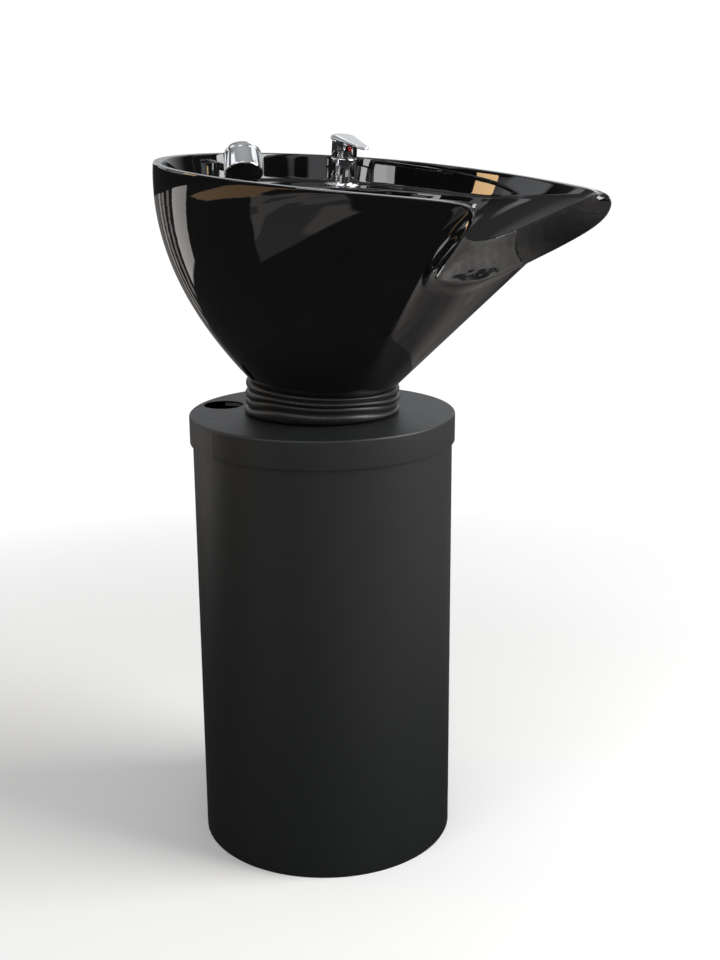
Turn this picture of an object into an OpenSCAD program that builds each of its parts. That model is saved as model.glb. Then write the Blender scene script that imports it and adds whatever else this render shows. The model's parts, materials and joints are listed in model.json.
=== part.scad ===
// Hair-washing basin on a drum pedestal. Millimetres, +Z up, origin on the drum's axis at the floor.
// +X is the neck side of the basin and +Y the side with the mixer.

/* [Pedestal] */
// Height of the lid's top face above the floor
pedestal_h = 640; // [600:5:700]
// Outer radius of the lid
lid_r = 190; // [189:0.5:196]
// Depth of the lid's skirt
skirt_h = 40; // [25:1:60]
// Outer radius of the drum
drum_r = 186; // [180:0.5:186]
// Thickness of the sheet metal
sheet_t = 1.5; // [1:0.1:2]
// Radius of the hose port in the lid
port_r = 29; // [15:0.5:30]
// Place of the hose port
port_xy = [-140, -57]; // [-140:1:-130]

/* [Tilt mechanism] */
// Height of the hinge line above the lid
pivot_rise = 20; // [20:0.5:22]
// Forward tilt of the basin at rest, in degrees
rest_tilt = 4.5; // [3:0.5:6]
// Radius of the hinge bolts' shoulders
hinge_r = 4.95; // [4.9:0.01:4.99]
// Radial play of the hinge bolts
hinge_play = 0.05; // [0.03:0.01:0.1]

/* [Basin] */
// Height of the rim above the hinge line
rim_z = 318; // [310:1:325]
// Depth of the tap ledge below the rim
ledge_drop = 38; // [34:1:40]
// Radius where the basin's wall meets the sleeve
foot_r = 105; // [102:0.5:106]
// Thickness of the ceramic wall
wall_t = 10; // [8:0.5:11]
// Depth of the channel in the neck lip
lip_channel = 12; // [8:0.5:14]
// Rings of facets round the basin for each control point
facets_per_span = 3; // [2:1:4]

/* [Mixer and hand shower] */
// Place of the mixer on the ledge
mixer_xy = [-100, 147]; // [-100:1:-96]
// Direction of the lever at rest, in degrees
mixer_turn = -28; // [-40:1:0]
// Place of the hand shower's gland on the ledge
gland_xy = [-162, -10]; // [-166:1:-158]
// Direction that the hand shower faces at rest, in degrees
shower_turn = -40; // [-60:1:-20]
// Angle of the spray face below level, in degrees
spray_dip = 48; // [46:1:50]

/* [Hidden] */
$fn = 96;
pivot_z = pedestal_h + pivot_rise;
ledge_z = rim_z - ledge_drop;
play = 0.3;

// frame
base_t = 8;
plate_t = 6;
top_plate_z = pedestal_h - sheet_t - 1 - plate_t;
post_w = 30;
post_at = 120;
opening_r = 84;
floor_hole_r = 90;
top_plate_r = 165;
bracket_r = 80;
bracket_bolt_at = 48;
bolt_r = 4;
bolt_hole_r = 4.2;
bolt_head = 13;
anchor_pcd = 280;
anchor_r = 5.5;

// hinge: distances from the middle plane
ear_t = 5;
ear_in = 58;
washer_t = 3.7;
ear_out = ear_in + ear_t + washer_t + play;
ear_w = 40;
lower_ear_r = 11;
upper_ear_r = 15;
centre_r = 54;

// cradle, in the basin's own frame
cradle_z = 12;
cradle_r = 97;
cradle_t = 6;
gasket_t = 2;
foot_z = cradle_z + cradle_t + gasket_t;
foot_step_z = 26;
foot_ring_r = 98;
foot_hole_r = 64;
foot_flange_t = 12;
basin_bolt_at = 55;

// flat seats of the tap washers, cut into the underside of the ledge
ledge_seat = 14;
seat_r = 26;

// waste
drain_z = 62;
drain_r = 24;
drain_seat_r = 36;
drain_under_z = 50;
waste_r = 22;
waste_bore = 18.5;

// outline control points of the basin, from the middle of the back to the middle of the front;
// the other half is their mirror image
RIM_OUTER = [
    [-250, 0, rim_z], [-218, 126, rim_z], [-130, 218, rim_z], [-10, 251, rim_z], [115, 240, rim_z],
    [225, 203, rim_z], [312, 166, rim_z], [345, 159, rim_z - 4], [342, 173, rim_z - 30],
    [312, 163, rim_z - 60], [262, 138, rim_z - 93], [238, 72, rim_z - 115], [246, 0, rim_z - 121]];
RIM_INNER = [
    [-238, 0, rim_z], [-207, 120, rim_z], [-124, 208, rim_z], [-10, 240, rim_z], [112, 229, rim_z],
    [218, 192, rim_z], [300, 155, rim_z], [328, 142, rim_z], [327, 130, rim_z - 6],
    [305, 110, rim_z - 20], [270, 80, rim_z - 44], [252, 42, rim_z - 60], [250, 0, rim_z - 64]];
WALL_FOOT = [
    [-229, 0, ledge_z], [-199, 115, ledge_z], [-118, 201, ledge_z], [-9, 232, ledge_z],
    [109, 222, ledge_z], [214, 187, rim_z - 20], [295, 152, rim_z - 8], [322, 139, rim_z - 5],
    [322, 128, rim_z - 11], [301, 108, rim_z - 25], [267, 78, rim_z - 48], [250, 41, rim_z - 64],
    [248, 0, rim_z - 68]];
BOWL_EDGE = [
    [-120, 0, ledge_z], [-107, 74, ledge_z], [-69, 139, ledge_z], [-12, 188, ledge_z],
    [105, 218, ledge_z], [212, 184, rim_z - 26], [291, 149, rim_z - 13], [316, 136, rim_z - 11],
    [318, 125, rim_z - 16], [298, 106, rim_z - 30], [264, 77, rim_z - 52], [247, 40, rim_z - 69],
    [245, 0, rim_z - 73]];
SHOULDER = [
    [-250, 0, rim_z - 8], [-218, 126, rim_z - 8], [-130, 218, rim_z - 8], [-10, 251, rim_z - 8],
    [115, 239, rim_z - 8], [221, 202, rim_z - 10], [298, 163, rim_z - 18], [292, 156, rim_z - 34],
    [280, 147, rim_z - 58], [260, 132, rim_z - 82], [234, 108, rim_z - 112],
    [223, 62, rim_z - 128], [227, 0, rim_z - 135]];
// direction in which each control point's section runs down to the foot and the drain, in degrees
BEARING = [180, 150, 121, 93, 67, 47, 35, 30, 26, 21.5, 15.5, 8, 0];
// how much of the neck channel each control point has
LIP = [0, 0, 0, 0, 0, 0, 0, 0.5, 1, 1, 1, 1, 1];
// reach of the neck cushion to either side of the middle, in control points
pad_reach = 5 / 3;
pad_t = 7;

// routes of the hoses, in the basin's frame above the hinge and in the pedestal's below it
HOT_UPPER = [[-109, 143, 235.4], [-110, 141, 212], [-109, 130, 180], [-94, 108, 136], [-68, 80, 88],
    [-34, 58, 50], [-12, 44, 24], [-6.5, 40.5, 1.5]];
COLD_UPPER = [[-91, 143, 235.4], [-89, 142, 212], [-83, 140, 180], [-64, 118, 136], [-40, 90, 88],
    [-14, 64, 50], [2, 47, 24], [6.5, 40.5, 2.8]];
HOT_LOWER = [[-6.5, 40.5, -1], [-7, 41, -30], [-20, 42, -80], [-50, 42, -160], [-64, 38, -300],
    [-62, 36, -460], [-54, 36, -560], [-50, 36, -620]];
COLD_LOWER = [[6.5, 40.5, -1], [6.5, 41.5, -30], [4, 50, -80], [-2, 66, -160], [-10, 74, -300],
    [-10, 70, -460], [-4, 62, -560], [0, 56, -620]];
SHOWER_ROUTE = [[-162, -10, 248.6], [-162, -10, 228], [-170, 14, 200], [-176, 56, 184], [-164, 104, 182],
    [-140, 140, 188], [-117, 157, 204], [-102, 158.5, 221], [-100, 158.5, 234.5]];
shower_hose_r = 7;
hose_r = 6;
hose_sides = 10;

// ---- curves ----

function mirrored(half) = concat(half, [for (i = [len(half) - 2 : -1 : 1])
    [half[i][0], -half[i][1], half[i][2]]]);
function mirrored_values(half) = concat(half, [for (i = [len(half) - 2 : -1 : 1]) half[i]]);

// a closed uniform cubic B-spline at parameter t, counted in control points
function cubic(a, b, c, d, f) =
    (pow(1 - f, 3) * a + (3 * pow(f, 3) - 6 * f * f + 4) * b
        + (1 + 3 * f + 3 * f * f - 3 * pow(f, 3)) * c + pow(f, 3) * d) / 6;
function on_curve(ctrl, t) =
    let (m = len(ctrl), i = floor(t))
    cubic(ctrl[(i - 1 + m) % m], ctrl[i % m], ctrl[(i + 1) % m], ctrl[(i + 2) % m], t - i);

OUTER = mirrored(RIM_OUTER);
INNER = mirrored(RIM_INNER);
WALL = mirrored(WALL_FOOT);
EDGE = mirrored(BOWL_EDGE);
CHANNEL = mirrored_values(LIP);
UNDER = mirrored(SHOULDER);
spans = len(OUTER);
around = spans * facets_per_span;
STEPS = [for (k = [0 : around - 1]) k / facets_per_span];

function mix(a, b, k) = a * (1 - k) + b * k;
function smooth(x) = let (c = min(1, max(0, x))) c * c * (3 - 2 * c);
function unit(v) = v / norm(v);

// the lip: from the outer edge (k = 0) to the inner ridge (k = 1), hollowed into a channel
lip_focus = [140, 0, 150];
function on_lip(t, k, lift) =
    let (p = mix(on_curve(OUTER, t), on_curve(INNER, t), k), n = unit(lip_focus - p))
    p + n * (lip_channel * on_curve(CHANNEL, t) * 4 * k * (1 - k) - lift);

// the bearing of a section, from 180 degrees at the back through 0 in front to -180
function bearing_no(i) = i < 0 ? 360 - BEARING[-i] : i > spans / 2 ? -BEARING[spans - i] : BEARING[i];
function bearing(t) =
    let (h = min(t, spans - t), i = floor(h),
        b = cubic(bearing_no(i - 1), bearing_no(i), bearing_no(i + 1), bearing_no(i + 2), h - i))
    t > spans / 2 ? -b : b;

// a wall that falls from point p to a circle: straight in front, bellied behind
function belly(a, deepest) = 1 + (deepest - 1) * smooth((abs(a) - 30) / 90);
function falling(p, a, r, z, v, power) =
    let (g = 1 - pow(v, power))
    [mix(r * cos(a), p[0], g), mix(r * sin(a), p[1], g), mix(p[2], z, v)];
function on_outside(t, v) =
    let (a = bearing(t)) falling(on_curve(UNDER, t), a, foot_r, foot_step_z, v, belly(a, 2.05));
function on_bowl(t, v) =
    let (a = bearing(t)) falling(on_curve(EDGE, t), a, drain_seat_r, drain_z, v, belly(a, 1.8));

function inward(p, d) = let (r = norm([p[0], p[1]])) [p[0] * (1 - d / r), p[1] * (1 - d / r), p[2]];
function ledge_share(t) = smooth(norm(on_curve(WALL, t) - on_curve(EDGE, t)) / 60);
function circle_at(t, r, z) = let (a = bearing(t)) [r * cos(a), r * sin(a), z];

// rings of points, joined into one closed skin
function ring_faces(rows, n) = [for (j = [0 : rows - 1], i = [0 : n - 1], s = [0, 1])
    let (a = j * n + i, b = j * n + (i + 1) % n, c = ((j + 1) % rows) * n + (i + 1) % n,
        d = ((j + 1) % rows) * n + i)
    s == 0 ? [a, b, c] : [a, c, d]];
module torus_skin(rows) {
    polyhedron(points = [for (row = rows) each row], faces = ring_faces(len(rows), len(rows[0])));
}

// a tube swept along a route: a Catmull-Rom curve through the points
function route_at(p, t) =
    let (m = len(p) - 1, i = min(floor(t), m - 1), f = t - i, a = p[max(i - 1, 0)], b = p[i],
        c = p[i + 1], d = p[min(i + 2, m)])
    (2 * b + (c - a) * f + (2 * a - 5 * b + 4 * c - d) * f * f
        + (3 * b - a - 3 * c + d) * f * f * f) / 2;
module tube(route, r, steps_per_point = 3) {
    n = (len(route) - 1) * steps_per_point;
    centres = [for (k = [0 : n]) route_at(route, k / steps_per_point)];
    ways = [for (k = [0 : n]) unit(centres[min(k + 1, n)] - centres[max(k - 1, 0)])];
    side = [for (k = [0 : n]) unit(cross(ways[k], [1, 0.3, 0]))];
    points = [for (k = [0 : n], s = [0 : hose_sides - 1]) let (a = 360 * s / hose_sides)
        centres[k] + r * (cos(a) * side[k] + sin(a) * cross(ways[k], side[k]))];
    walls = [for (k = [0 : n - 1], s = [0 : hose_sides - 1], h = [0, 1])
        let (a = k * hose_sides + s, b = k * hose_sides + (s + 1) % hose_sides)
        h == 0 ? [a, b + hose_sides, b] : [a, a + hose_sides, b + hose_sides]];
    ends = [[for (s = [0 : hose_sides - 1]) s],
        [for (s = [hose_sides - 1 : -1 : 0]) n * hose_sides + s]];
    polyhedron(points = points, faces = concat(walls, ends));
}

// ---- helpers ----

module on_basin() {
    translate([0, 0, pivot_z]) rotate([0, rest_tilt, 0]) children();
}
module ring(r_out, r_in, z0, z1) {
    translate([0, 0, z0]) difference() {
        cylinder(r = r_out, h = z1 - z0);
        translate([0, 0, -1]) cylinder(r = r_in, h = z1 - z0 + 2);
    }
}
module hex(across, z0, z1) {
    translate([0, 0, z0]) cylinder(r = across / sqrt(3), h = z1 - z0, $fn = 6);
}
module hex_ring(across, r_in, z0, z1) {
    difference() {
        hex(across, z0, z1);
        translate([0, 0, z0 - 1]) cylinder(r = r_in, h = z1 - z0 + 2);
    }
}
module four(at) {
    for (x = [-at, at], y = [-at, at]) translate([x, y, 0]) children();
}
module at_mixer() {
    translate([mixer_xy[0], mixer_xy[1], ledge_z]) children();
}
module at_gland() {
    translate([gland_xy[0], gland_xy[1], ledge_z]) children();
}
module both_sides() {
    children();
    mirror([0, 1, 0]) children();
}

// ---- pedestal ----

module pedestal_drum() {
    color([0.10, 0.11, 0.11]) ring(drum_r, drum_r - sheet_t, 0, pedestal_h - sheet_t);
}

// the lid is screwed on along its back half
SCREW_ANGLES = [60, 110, 160, 210];
module lid_screws() {
    color([0.16, 0.16, 0.17]) for (a = SCREW_ANGLES) rotate([0, 0, a])
        translate([drum_r + 0.1, 0, pedestal_h - skirt_h / 2]) rotate([0, 90, 0]) union() {
            cylinder(r = 2, h = lid_r - drum_r + 0.6);
            translate([0, 0, lid_r - drum_r + 0.1]) cylinder(r = 4, h = 1.2);
        }
}

module pedestal_lid() {
    color([0.11, 0.12, 0.12]) difference() {
        translate([0, 0, pedestal_h - skirt_h]) cylinder(r = lid_r, h = skirt_h);
        translate([0, 0, pedestal_h - skirt_h - 1]) cylinder(r = lid_r - sheet_t, h = skirt_h + 1 - sheet_t);
        translate([0, 0, pedestal_h - 10]) cylinder(r = opening_r, h = 20);
        translate([port_xy[0], port_xy[1], pedestal_h - 10]) cylinder(r = port_r, h = 20);
        for (a = SCREW_ANGLES) rotate([0, 0, a])
            translate([lid_r - 10, 0, pedestal_h - skirt_h / 2]) rotate([0, 90, 0]) cylinder(r = 2.1, h = 20);
    }
}

module base_plate() {
    color([0.35, 0.36, 0.37]) difference() {
        cylinder(r = drum_r - sheet_t - 1, h = base_t);
        translate([0, 0, -1]) cylinder(r = floor_hole_r, h = base_t + 2);
        for (a = [0 : 90 : 270]) rotate([0, 0, a])
            translate([anchor_pcd / 2, 0, -1]) cylinder(r = anchor_r, h = base_t + 2);
    }
}

module frame_posts() {
    wall = 2;
    color([0.35, 0.36, 0.37]) for (a = [45 : 90 : 315]) rotate([0, 0, a])
        translate([post_at, 0, base_t]) difference() {
            translate([-post_w / 2, -post_w / 2, 0]) cube([post_w, post_w, top_plate_z - base_t]);
            translate([wall - post_w / 2, wall - post_w / 2, -1])
                cube([post_w - 2 * wall, post_w - 2 * wall, top_plate_z - base_t + 2]);
        }
}

module top_plate() {
    color([0.38, 0.39, 0.40]) difference() {
        translate([0, 0, top_plate_z]) cylinder(r = top_plate_r, h = plate_t);
        translate([0, 0, top_plate_z - 1]) cylinder(r = centre_r, h = plate_t + 2);
        translate([port_xy[0], port_xy[1], top_plate_z - 1]) cylinder(r = port_r + 5, h = plate_t + 2);
        translate([0, 0, top_plate_z - 1]) four(bracket_bolt_at) cylinder(r = bolt_hole_r, h = plate_t + 2);
    }
}

// ---- tilt mechanism ----

lower_z = top_plate_z + plate_t;
lower_t = 5;
module tilt_bracket() {
    color([0.45, 0.46, 0.48]) difference() {
        union() {
            translate([0, 0, lower_z]) cylinder(r = bracket_r, h = lower_t);
            both_sides() translate([0, ear_in, 0]) rotate([-90, 0, 0]) union() {
                translate([0, -pivot_z, 0]) cylinder(r = lower_ear_r, h = ear_t);
                translate([-lower_ear_r, -pivot_z, 0])
                    cube([2 * lower_ear_r, pivot_z - lower_z - 1, ear_t]);
            }
        }
        translate([0, 0, lower_z - 1]) cylinder(r = centre_r, h = lower_t + 2);
        translate([0, 0, lower_z - 1]) four(bracket_bolt_at) cylinder(r = bolt_hole_r, h = lower_t + 2);
        translate([0, 100, pivot_z]) rotate([90, 0, 0]) cylinder(r = hinge_r + hinge_play, h = 200);
    }
}

module bracket_bolts() {
    color([0.7, 0.71, 0.73]) four(bracket_bolt_at) union() {
        translate([0, 0, top_plate_z - 7]) cylinder(r = bolt_r, h = lower_z + lower_t - top_plate_z + 7);
        hex(bolt_head, lower_z + lower_t, lower_z + lower_t + 5);
        hex(bolt_head, top_plate_z - 6.5, top_plate_z);
    }
}

module hinge_bolts() {
    head_t = 5;
    color([0.7, 0.71, 0.73]) both_sides() translate([0, 0, pivot_z]) rotate([-90, 0, 0]) union() {
        translate([0, 0, ear_in - 9]) cylinder(r = hinge_r, h = ear_out + ear_t + play - ear_in + 9);
        hex(15, ear_out + ear_t + play, ear_out + ear_t + play + head_t);
    }
}

module hinge_nuts() {
    color([0.7, 0.71, 0.73]) both_sides() translate([0, 0, pivot_z]) rotate([-90, 0, 0])
        hex_ring(15, hinge_r, ear_in - 7, ear_in);
}

module friction_washers() {
    color([0.15, 0.15, 0.15]) both_sides() translate([0, 0, pivot_z]) rotate([-90, 0, 0])
        ring(10, hinge_r + hinge_play, ear_in + ear_t, ear_in + ear_t + washer_t);
}

module tilt_cradle() {
    color([0.45, 0.46, 0.48]) on_basin() difference() {
        union() {
            translate([0, 0, cradle_z]) cylinder(r = cradle_r, h = cradle_t);
            both_sides() translate([0, ear_out, 0]) rotate([-90, 0, 0]) union() {
                cylinder(r = upper_ear_r, h = ear_t);
                translate([-upper_ear_r, -cradle_z - 1, 0]) cube([2 * upper_ear_r, cradle_z + 1, ear_t]);
            }
        }
        translate([0, 0, cradle_z - 1]) cylinder(r = centre_r + 2, h = cradle_t + 2);
        translate([0, 0, cradle_z - 1]) four(basin_bolt_at) cylinder(r = bolt_hole_r, h = cradle_t + 2);
        translate([0, 100, 0]) rotate([90, 0, 0]) cylinder(r = hinge_r + hinge_play, h = 200);
    }
}

module cradle_gasket() {
    color([0.08, 0.08, 0.08]) on_basin() difference() {
        ring(cradle_r, foot_hole_r + 2, cradle_z + cradle_t, foot_z);
        translate([0, 0, cradle_z]) four(basin_bolt_at) cylinder(r = bolt_hole_r, h = 20);
    }
}

module basin_bolts() {
    color([0.7, 0.71, 0.73]) on_basin() four(basin_bolt_at) union() {
        hex(bolt_head, cradle_z - 5, cradle_z);
        translate([0, 0, cradle_z - 1]) cylinder(r = bolt_r, h = foot_z - cradle_z + foot_flange_t + 10);
    }
}

module basin_nuts() {
    color([0.7, 0.71, 0.73]) on_basin() four(basin_bolt_at)
        hex_ring(bolt_head, bolt_r, foot_z + foot_flange_t, foot_z + foot_flange_t + 6.5);
}

// a boot whose rings run from level at the lid to the basin's tilt at the foot
pleats = 4;
sleeve_gap = 0.5;
sleeve_bore = 99;
crease_r = 103;
pleat_depth = 7;
PLEAT = [0, 0.75, 1, 0.75];
function tilted(p) = [p[0] * cos(rest_tilt) + p[2] * sin(rest_tilt), p[1],
    pivot_z - p[0] * sin(rest_tilt) + p[2] * cos(rest_tilt)];
function on_boot(a, r, share) = mix([r * cos(a), r * sin(a), pedestal_h + sleeve_gap],
    tilted([r * cos(a), r * sin(a), foot_step_z - sleeve_gap]), share);
module sleeve() {
    sides = 48;
    levels = len(PLEAT) * pleats;
    outside = [for (j = [0 : levels]) [for (i = [0 : sides - 1])
        on_boot(-360 * i / sides, crease_r + pleat_depth * PLEAT[j % len(PLEAT)], j / levels)]];
    inside = [for (share = [1, 0]) [for (i = [0 : sides - 1])
        on_boot(-360 * i / sides, sleeve_bore, share)]];
    color([0.09, 0.09, 0.10]) torus_skin(concat(outside, inside));
}

// ---- basin ----

module basin() {
    up = [1, 0.92, 0.82, 0.7, 0.56, 0.42, 0.28, 0.15, 0.05, 0];
    down = [0.06, 0.18, 0.34, 0.52, 0.7, 0.86, 1];
    flange_z = foot_z + foot_flange_t;
    rows = concat(
        [[for (t = STEPS) circle_at(t, foot_ring_r, foot_z)],
            [for (t = STEPS) circle_at(t, foot_ring_r, foot_step_z)]],
        [for (v = up) [for (t = STEPS) on_outside(t, v)]],
        [for (k = [0, 0.25, 0.5, 0.75, 1]) [for (t = STEPS) on_lip(t, k, 0)]],
        [[for (t = STEPS) on_curve(WALL, t)], [for (t = STEPS) on_curve(EDGE, t)]],
        [for (v = down) [for (t = STEPS) on_bowl(t, v)]],
        [[for (t = STEPS) circle_at(t, drain_seat_r, drain_z - 3)],
            [for (t = STEPS) circle_at(t, drain_r, drain_z - 3)],
            [for (t = STEPS) circle_at(t, drain_r, drain_under_z)]],
        [for (k = [0, 0.2, 0.4, 0.6, 0.8, 1]) [for (t = STEPS)
            let (v = mix(1, mix(0.30, 0.06, ledge_share(t)), k)) inward(on_bowl(t, v), -9) - [0, 0, 12]]],
        [for (k = [0, 0.25, 0.5, 0.75, 1]) [for (t = STEPS)
            let (v = mix(mix(0.30, 0.18, ledge_share(t)), 0.93, k)) inward(on_outside(t, v), wall_t)]],
        [[for (t = STEPS) circle_at(t, foot_r - 2 * wall_t, flange_z)],
            [for (t = STEPS) circle_at(t, foot_hole_r, flange_z)],
            [for (t = STEPS) circle_at(t, foot_hole_r, foot_z)]]);
    color([0.02, 0.02, 0.025]) on_basin() difference() {
        torus_skin(rows);
        at_mixer() translate([0, 0, -40]) cylinder(r = 17.5, h = 60);
        at_gland() translate([0, 0, -40]) cylinder(r = 16.5, h = 60);
        at_mixer() translate([0, 0, -ledge_seat - 40]) cylinder(r = seat_r, h = 40);
        at_gland() translate([0, 0, -ledge_seat - 40]) cylinder(r = seat_r, h = 40);
        translate([0, 0, foot_z - 1]) four(basin_bolt_at) cylinder(r = 4.5, h = foot_flange_t + 2);
    }
}

// a gel pad that lies in the channel of the neck lip
module neck_cushion() {
    steps = 2 * round(pad_reach * facets_per_span);
    across = [0.04, 0.25, 0.5, 0.75, 0.96];
    rows = [for (s = [0 : steps]) let (t = spans / 2 + (s - steps / 2) / facets_per_span, bulk = pad_t
            * sqrt(min(1, min(s, steps - s) / 2 + 0.25)))
        concat([for (k = across) on_lip(t, k, 1.5)],
            [for (i = [len(across) - 1 : -1 : 0]) on_lip(t, across[i], bulk)])];
    n = len(rows[0]);
    walls = [for (j = [0 : steps - 1], i = [0 : n - 1], h = [0, 1])
        let (a = j * n + i, b = j * n + (i + 1) % n)
        h == 0 ? [a, b, b + n] : [a, b + n, a + n]];
    m = len(across);
    ends = [for (e = [0, steps], i = [0 : m - 2], h = [0, 1])
        let (a = e * n + i, b = e * n + i + 1, c = e * n + n - 2 - i, d = e * n + n - 1 - i,
            q = h == 0 ? [a, c, b] : [a, d, c])
        e == 0 ? q : [q[0], q[2], q[1]]];
    color([0.05, 0.05, 0.06]) on_basin()
        polyhedron(points = [for (row = rows) each row], faces = concat(walls, ends));
}

// ---- waste ----

module waste_flange() {
    color([0.85, 0.86, 0.88]) on_basin() union() {
        ring(34, waste_bore, drain_z - 3, drain_z);
        ring(waste_r, waste_bore, 30.1, drain_z - 3);
    }
}
module waste_washer() {
    color([0.1, 0.1, 0.1]) on_basin() ring(32, waste_r, drain_under_z - 3, drain_under_z);
}
module waste_nut() {
    color([0.7, 0.71, 0.73]) on_basin() hex_ring(54, waste_r, drain_under_z - 9, drain_under_z - 3);
}
module waste_tail() {
    color([0.2, 0.2, 0.21]) on_basin() union() {
        ring(waste_r, 16, 26, 30);
        ring(19, 16, -30, 26);
    }
}
module tail_nut() {
    color([0.2, 0.2, 0.21]) on_basin() union() {
        hex_ring(52, waste_r, 25, 40);
        hex_ring(52, 19, 22, 25);
    }
}
module waste_hose() {
    cuff_r = 30;
    cuff_z = pivot_z - 48;
    pitch = 10;
    ribs = floor((cuff_z - 60) / pitch);
    outside = concat([[20, 4], [20, 56], [21, 57]], [for (k = [0 : ribs - 1], p = [[21, 0.2], [23, 0.4],
        [23, 0.7], [21, 0.9]]) [p[0], 58 + (k + p[1]) * pitch]]);
    color([0.13, 0.13, 0.14]) union() {
        rotate_extrude() polygon(concat(outside, [[21, cuff_z], [16.5, cuff_z], [16.5, 4]]));
        ring(cuff_r + 3, 16.5, cuff_z, cuff_z + 3);
        ring(cuff_r + 3, cuff_r, cuff_z + 3, pivot_z - 12);
    }
}
module hair_strainer() {
    color([0.8, 0.81, 0.83]) on_basin() difference() {
        union() {
            translate([0, 0, drain_z + play]) cylinder(r = 24, h = 2);
            ring(waste_bore - 0.4, waste_bore - 2, drain_z - 8, drain_z + play + 1);
            translate([0, 0, drain_z + 2]) cylinder(r = 4, h = 9);
        }
        for (ring_k = [1, 2], k = [0 : 6 * ring_k - 1]) rotate([0, 0, 60 * k / ring_k])
            translate([1 + 6 * ring_k, 0, drain_z - 1]) cylinder(r = 1.8, h = 5);
    }
}

// ---- mixer ----

base_ring_h = 4;
body_h = 40;
mixer_r = 19;
socket_z = 14;
handle_gap = 1;
module mixer_base_ring() {
    color([0.85, 0.86, 0.88]) on_basin() at_mixer() rotate_extrude()
        polygon([[16, 0], [27, 0], [27, 2], [25, base_ring_h], [16, base_ring_h]]);
}
module mixer_body() {
    color([0.85, 0.86, 0.88]) on_basin() at_mixer() union() {
        difference() {
            translate([0, 0, base_ring_h]) cylinder(r = mixer_r, h = body_h - base_ring_h);
            translate([0, 0, socket_z]) cylinder(r = 16.2, h = body_h);
        }
        ring(15.8, 12, -44, base_ring_h);
    }
}
module mixer_cartridge() {
    color([0.9, 0.9, 0.86]) on_basin() at_mixer() difference() {
        translate([0, 0, socket_z]) cylinder(r = 16, h = body_h - socket_z - 1);
        translate([0, 0, body_h - 7]) cylinder(r = 4.55, h = 10);
    }
}
module mixer_spindle() {
    color([0.75, 0.76, 0.78]) on_basin() at_mixer() translate([0, 0, body_h - 6.5]) union() {
        cylinder(r = 4.5, h = 10);
        translate([-3, -3, 9]) cube([6, 6, 4]);
    }
}
// the handle: a cap over the cartridge that runs out into a flat lever
module mixer_handle() {
    cap_h = 21;
    reach = 74;
    overhang = 22;
    color([0.85, 0.86, 0.88]) on_basin() at_mixer() rotate([0, 0, mixer_turn])
        translate([0, 0, body_h + handle_gap]) difference() {
            union() {
                cylinder(r = mixer_r, h = cap_h);
                hull() {
                    translate([0, 0, cap_h]) cylinder(r = mixer_r, h = 4, $fn = 32);
                    translate([-overhang + 14, 0, cap_h + 8]) cylinder(r = 14, h = 3, $fn = 32);
                }
                hull() {
                    translate([8, -14, cap_h + 4]) cube([4, 28, 6]);
                    translate([reach - 10, 0, cap_h - 4]) cylinder(r = 10, h = 4, $fn = 32);
                }
            }
            translate([0, 0, -1]) cylinder(r = 16, h = cap_h - 2);
        }
}
module index_dot() {
    color([0.75, 0.08, 0.1]) on_basin() at_mixer() rotate([0, 0, mixer_turn])
        translate([mixer_r + 0.05, 0, body_h + handle_gap + 13]) rotate([0, 90, 0]) cylinder(r = 3, h = 0.8);
}
module mixer_washer() {
    color([0.1, 0.1, 0.1]) on_basin() at_mixer() ring(24, 15.8, -ledge_seat - 3, -ledge_seat);
}
module mixer_locknut() {
    color([0.75, 0.7, 0.5]) on_basin() at_mixer() hex_ring(38, 15.8, -ledge_seat - 11, -ledge_seat - 3);
}

// ---- hand shower ----

stem_r = 10;
cone_r = 12;
cone_top = 11;
module shower_gland() {
    color([0.85, 0.86, 0.88]) on_basin() at_gland() union() {
        ring(20, stem_r + 1, 0, 4);
        ring(14, stem_r + 1, 4, 8);
        ring(15.5, stem_r + 1, -34, 0);
    }
}
module gland_washer() {
    color([0.1, 0.1, 0.1]) on_basin() at_gland() ring(22, 15.5, -ledge_seat - 3, -ledge_seat);
}
module gland_nut() {
    color([0.75, 0.7, 0.5]) on_basin() at_gland() hex_ring(36, 15.5, -ledge_seat - 11, -ledge_seat - 3);
}
module shower_cone() {
    color([0.8, 0.81, 0.83]) on_basin() at_gland() union() {
        translate([0, 0, -30]) cylinder(r = stem_r, h = 39);
        translate([0, 0, cone_top - 2.5]) cylinder(r = cone_r, h = 2.5);
    }
}
head_r = 27;
head_l = 38;
head_lift = 34;
head_reach = 30;
module shower_head_place() {
    on_basin() at_gland() rotate([0, 0, shower_turn]) translate([head_reach, 0, head_lift])
        rotate([0, 90 + spray_dip, 0]) children();
}
module hand_shower() {
    color([0.85, 0.86, 0.88]) union() {
        shower_head_place() difference() {
            translate([0, 0, -head_l / 2]) cylinder(r = head_r, h = head_l);
            translate([0, 0, head_l / 2 - 4]) cylinder(r = head_r - 2, h = 10);
        }
        on_basin() at_gland() union() {
            translate([0, 0, cone_top + play]) cylinder(r = cone_r, h = head_lift - cone_top);
        }
    }
}
module spray_face() {
    color([0.04, 0.04, 0.045]) shower_head_place() union() {
        translate([0, 0, head_l / 2 - 4]) cylinder(r = head_r - 2.2, h = 3);
        for (k = [1 : 3], i = [0 : 6 * k - 1]) rotate([0, 0, 60 * i / k])
            translate([6.6 * k, 0, head_l / 2 - 1.6]) cylinder(r = 0.9, h = 2, $fn = 8);
    }
}

// ---- hoses ----

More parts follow.
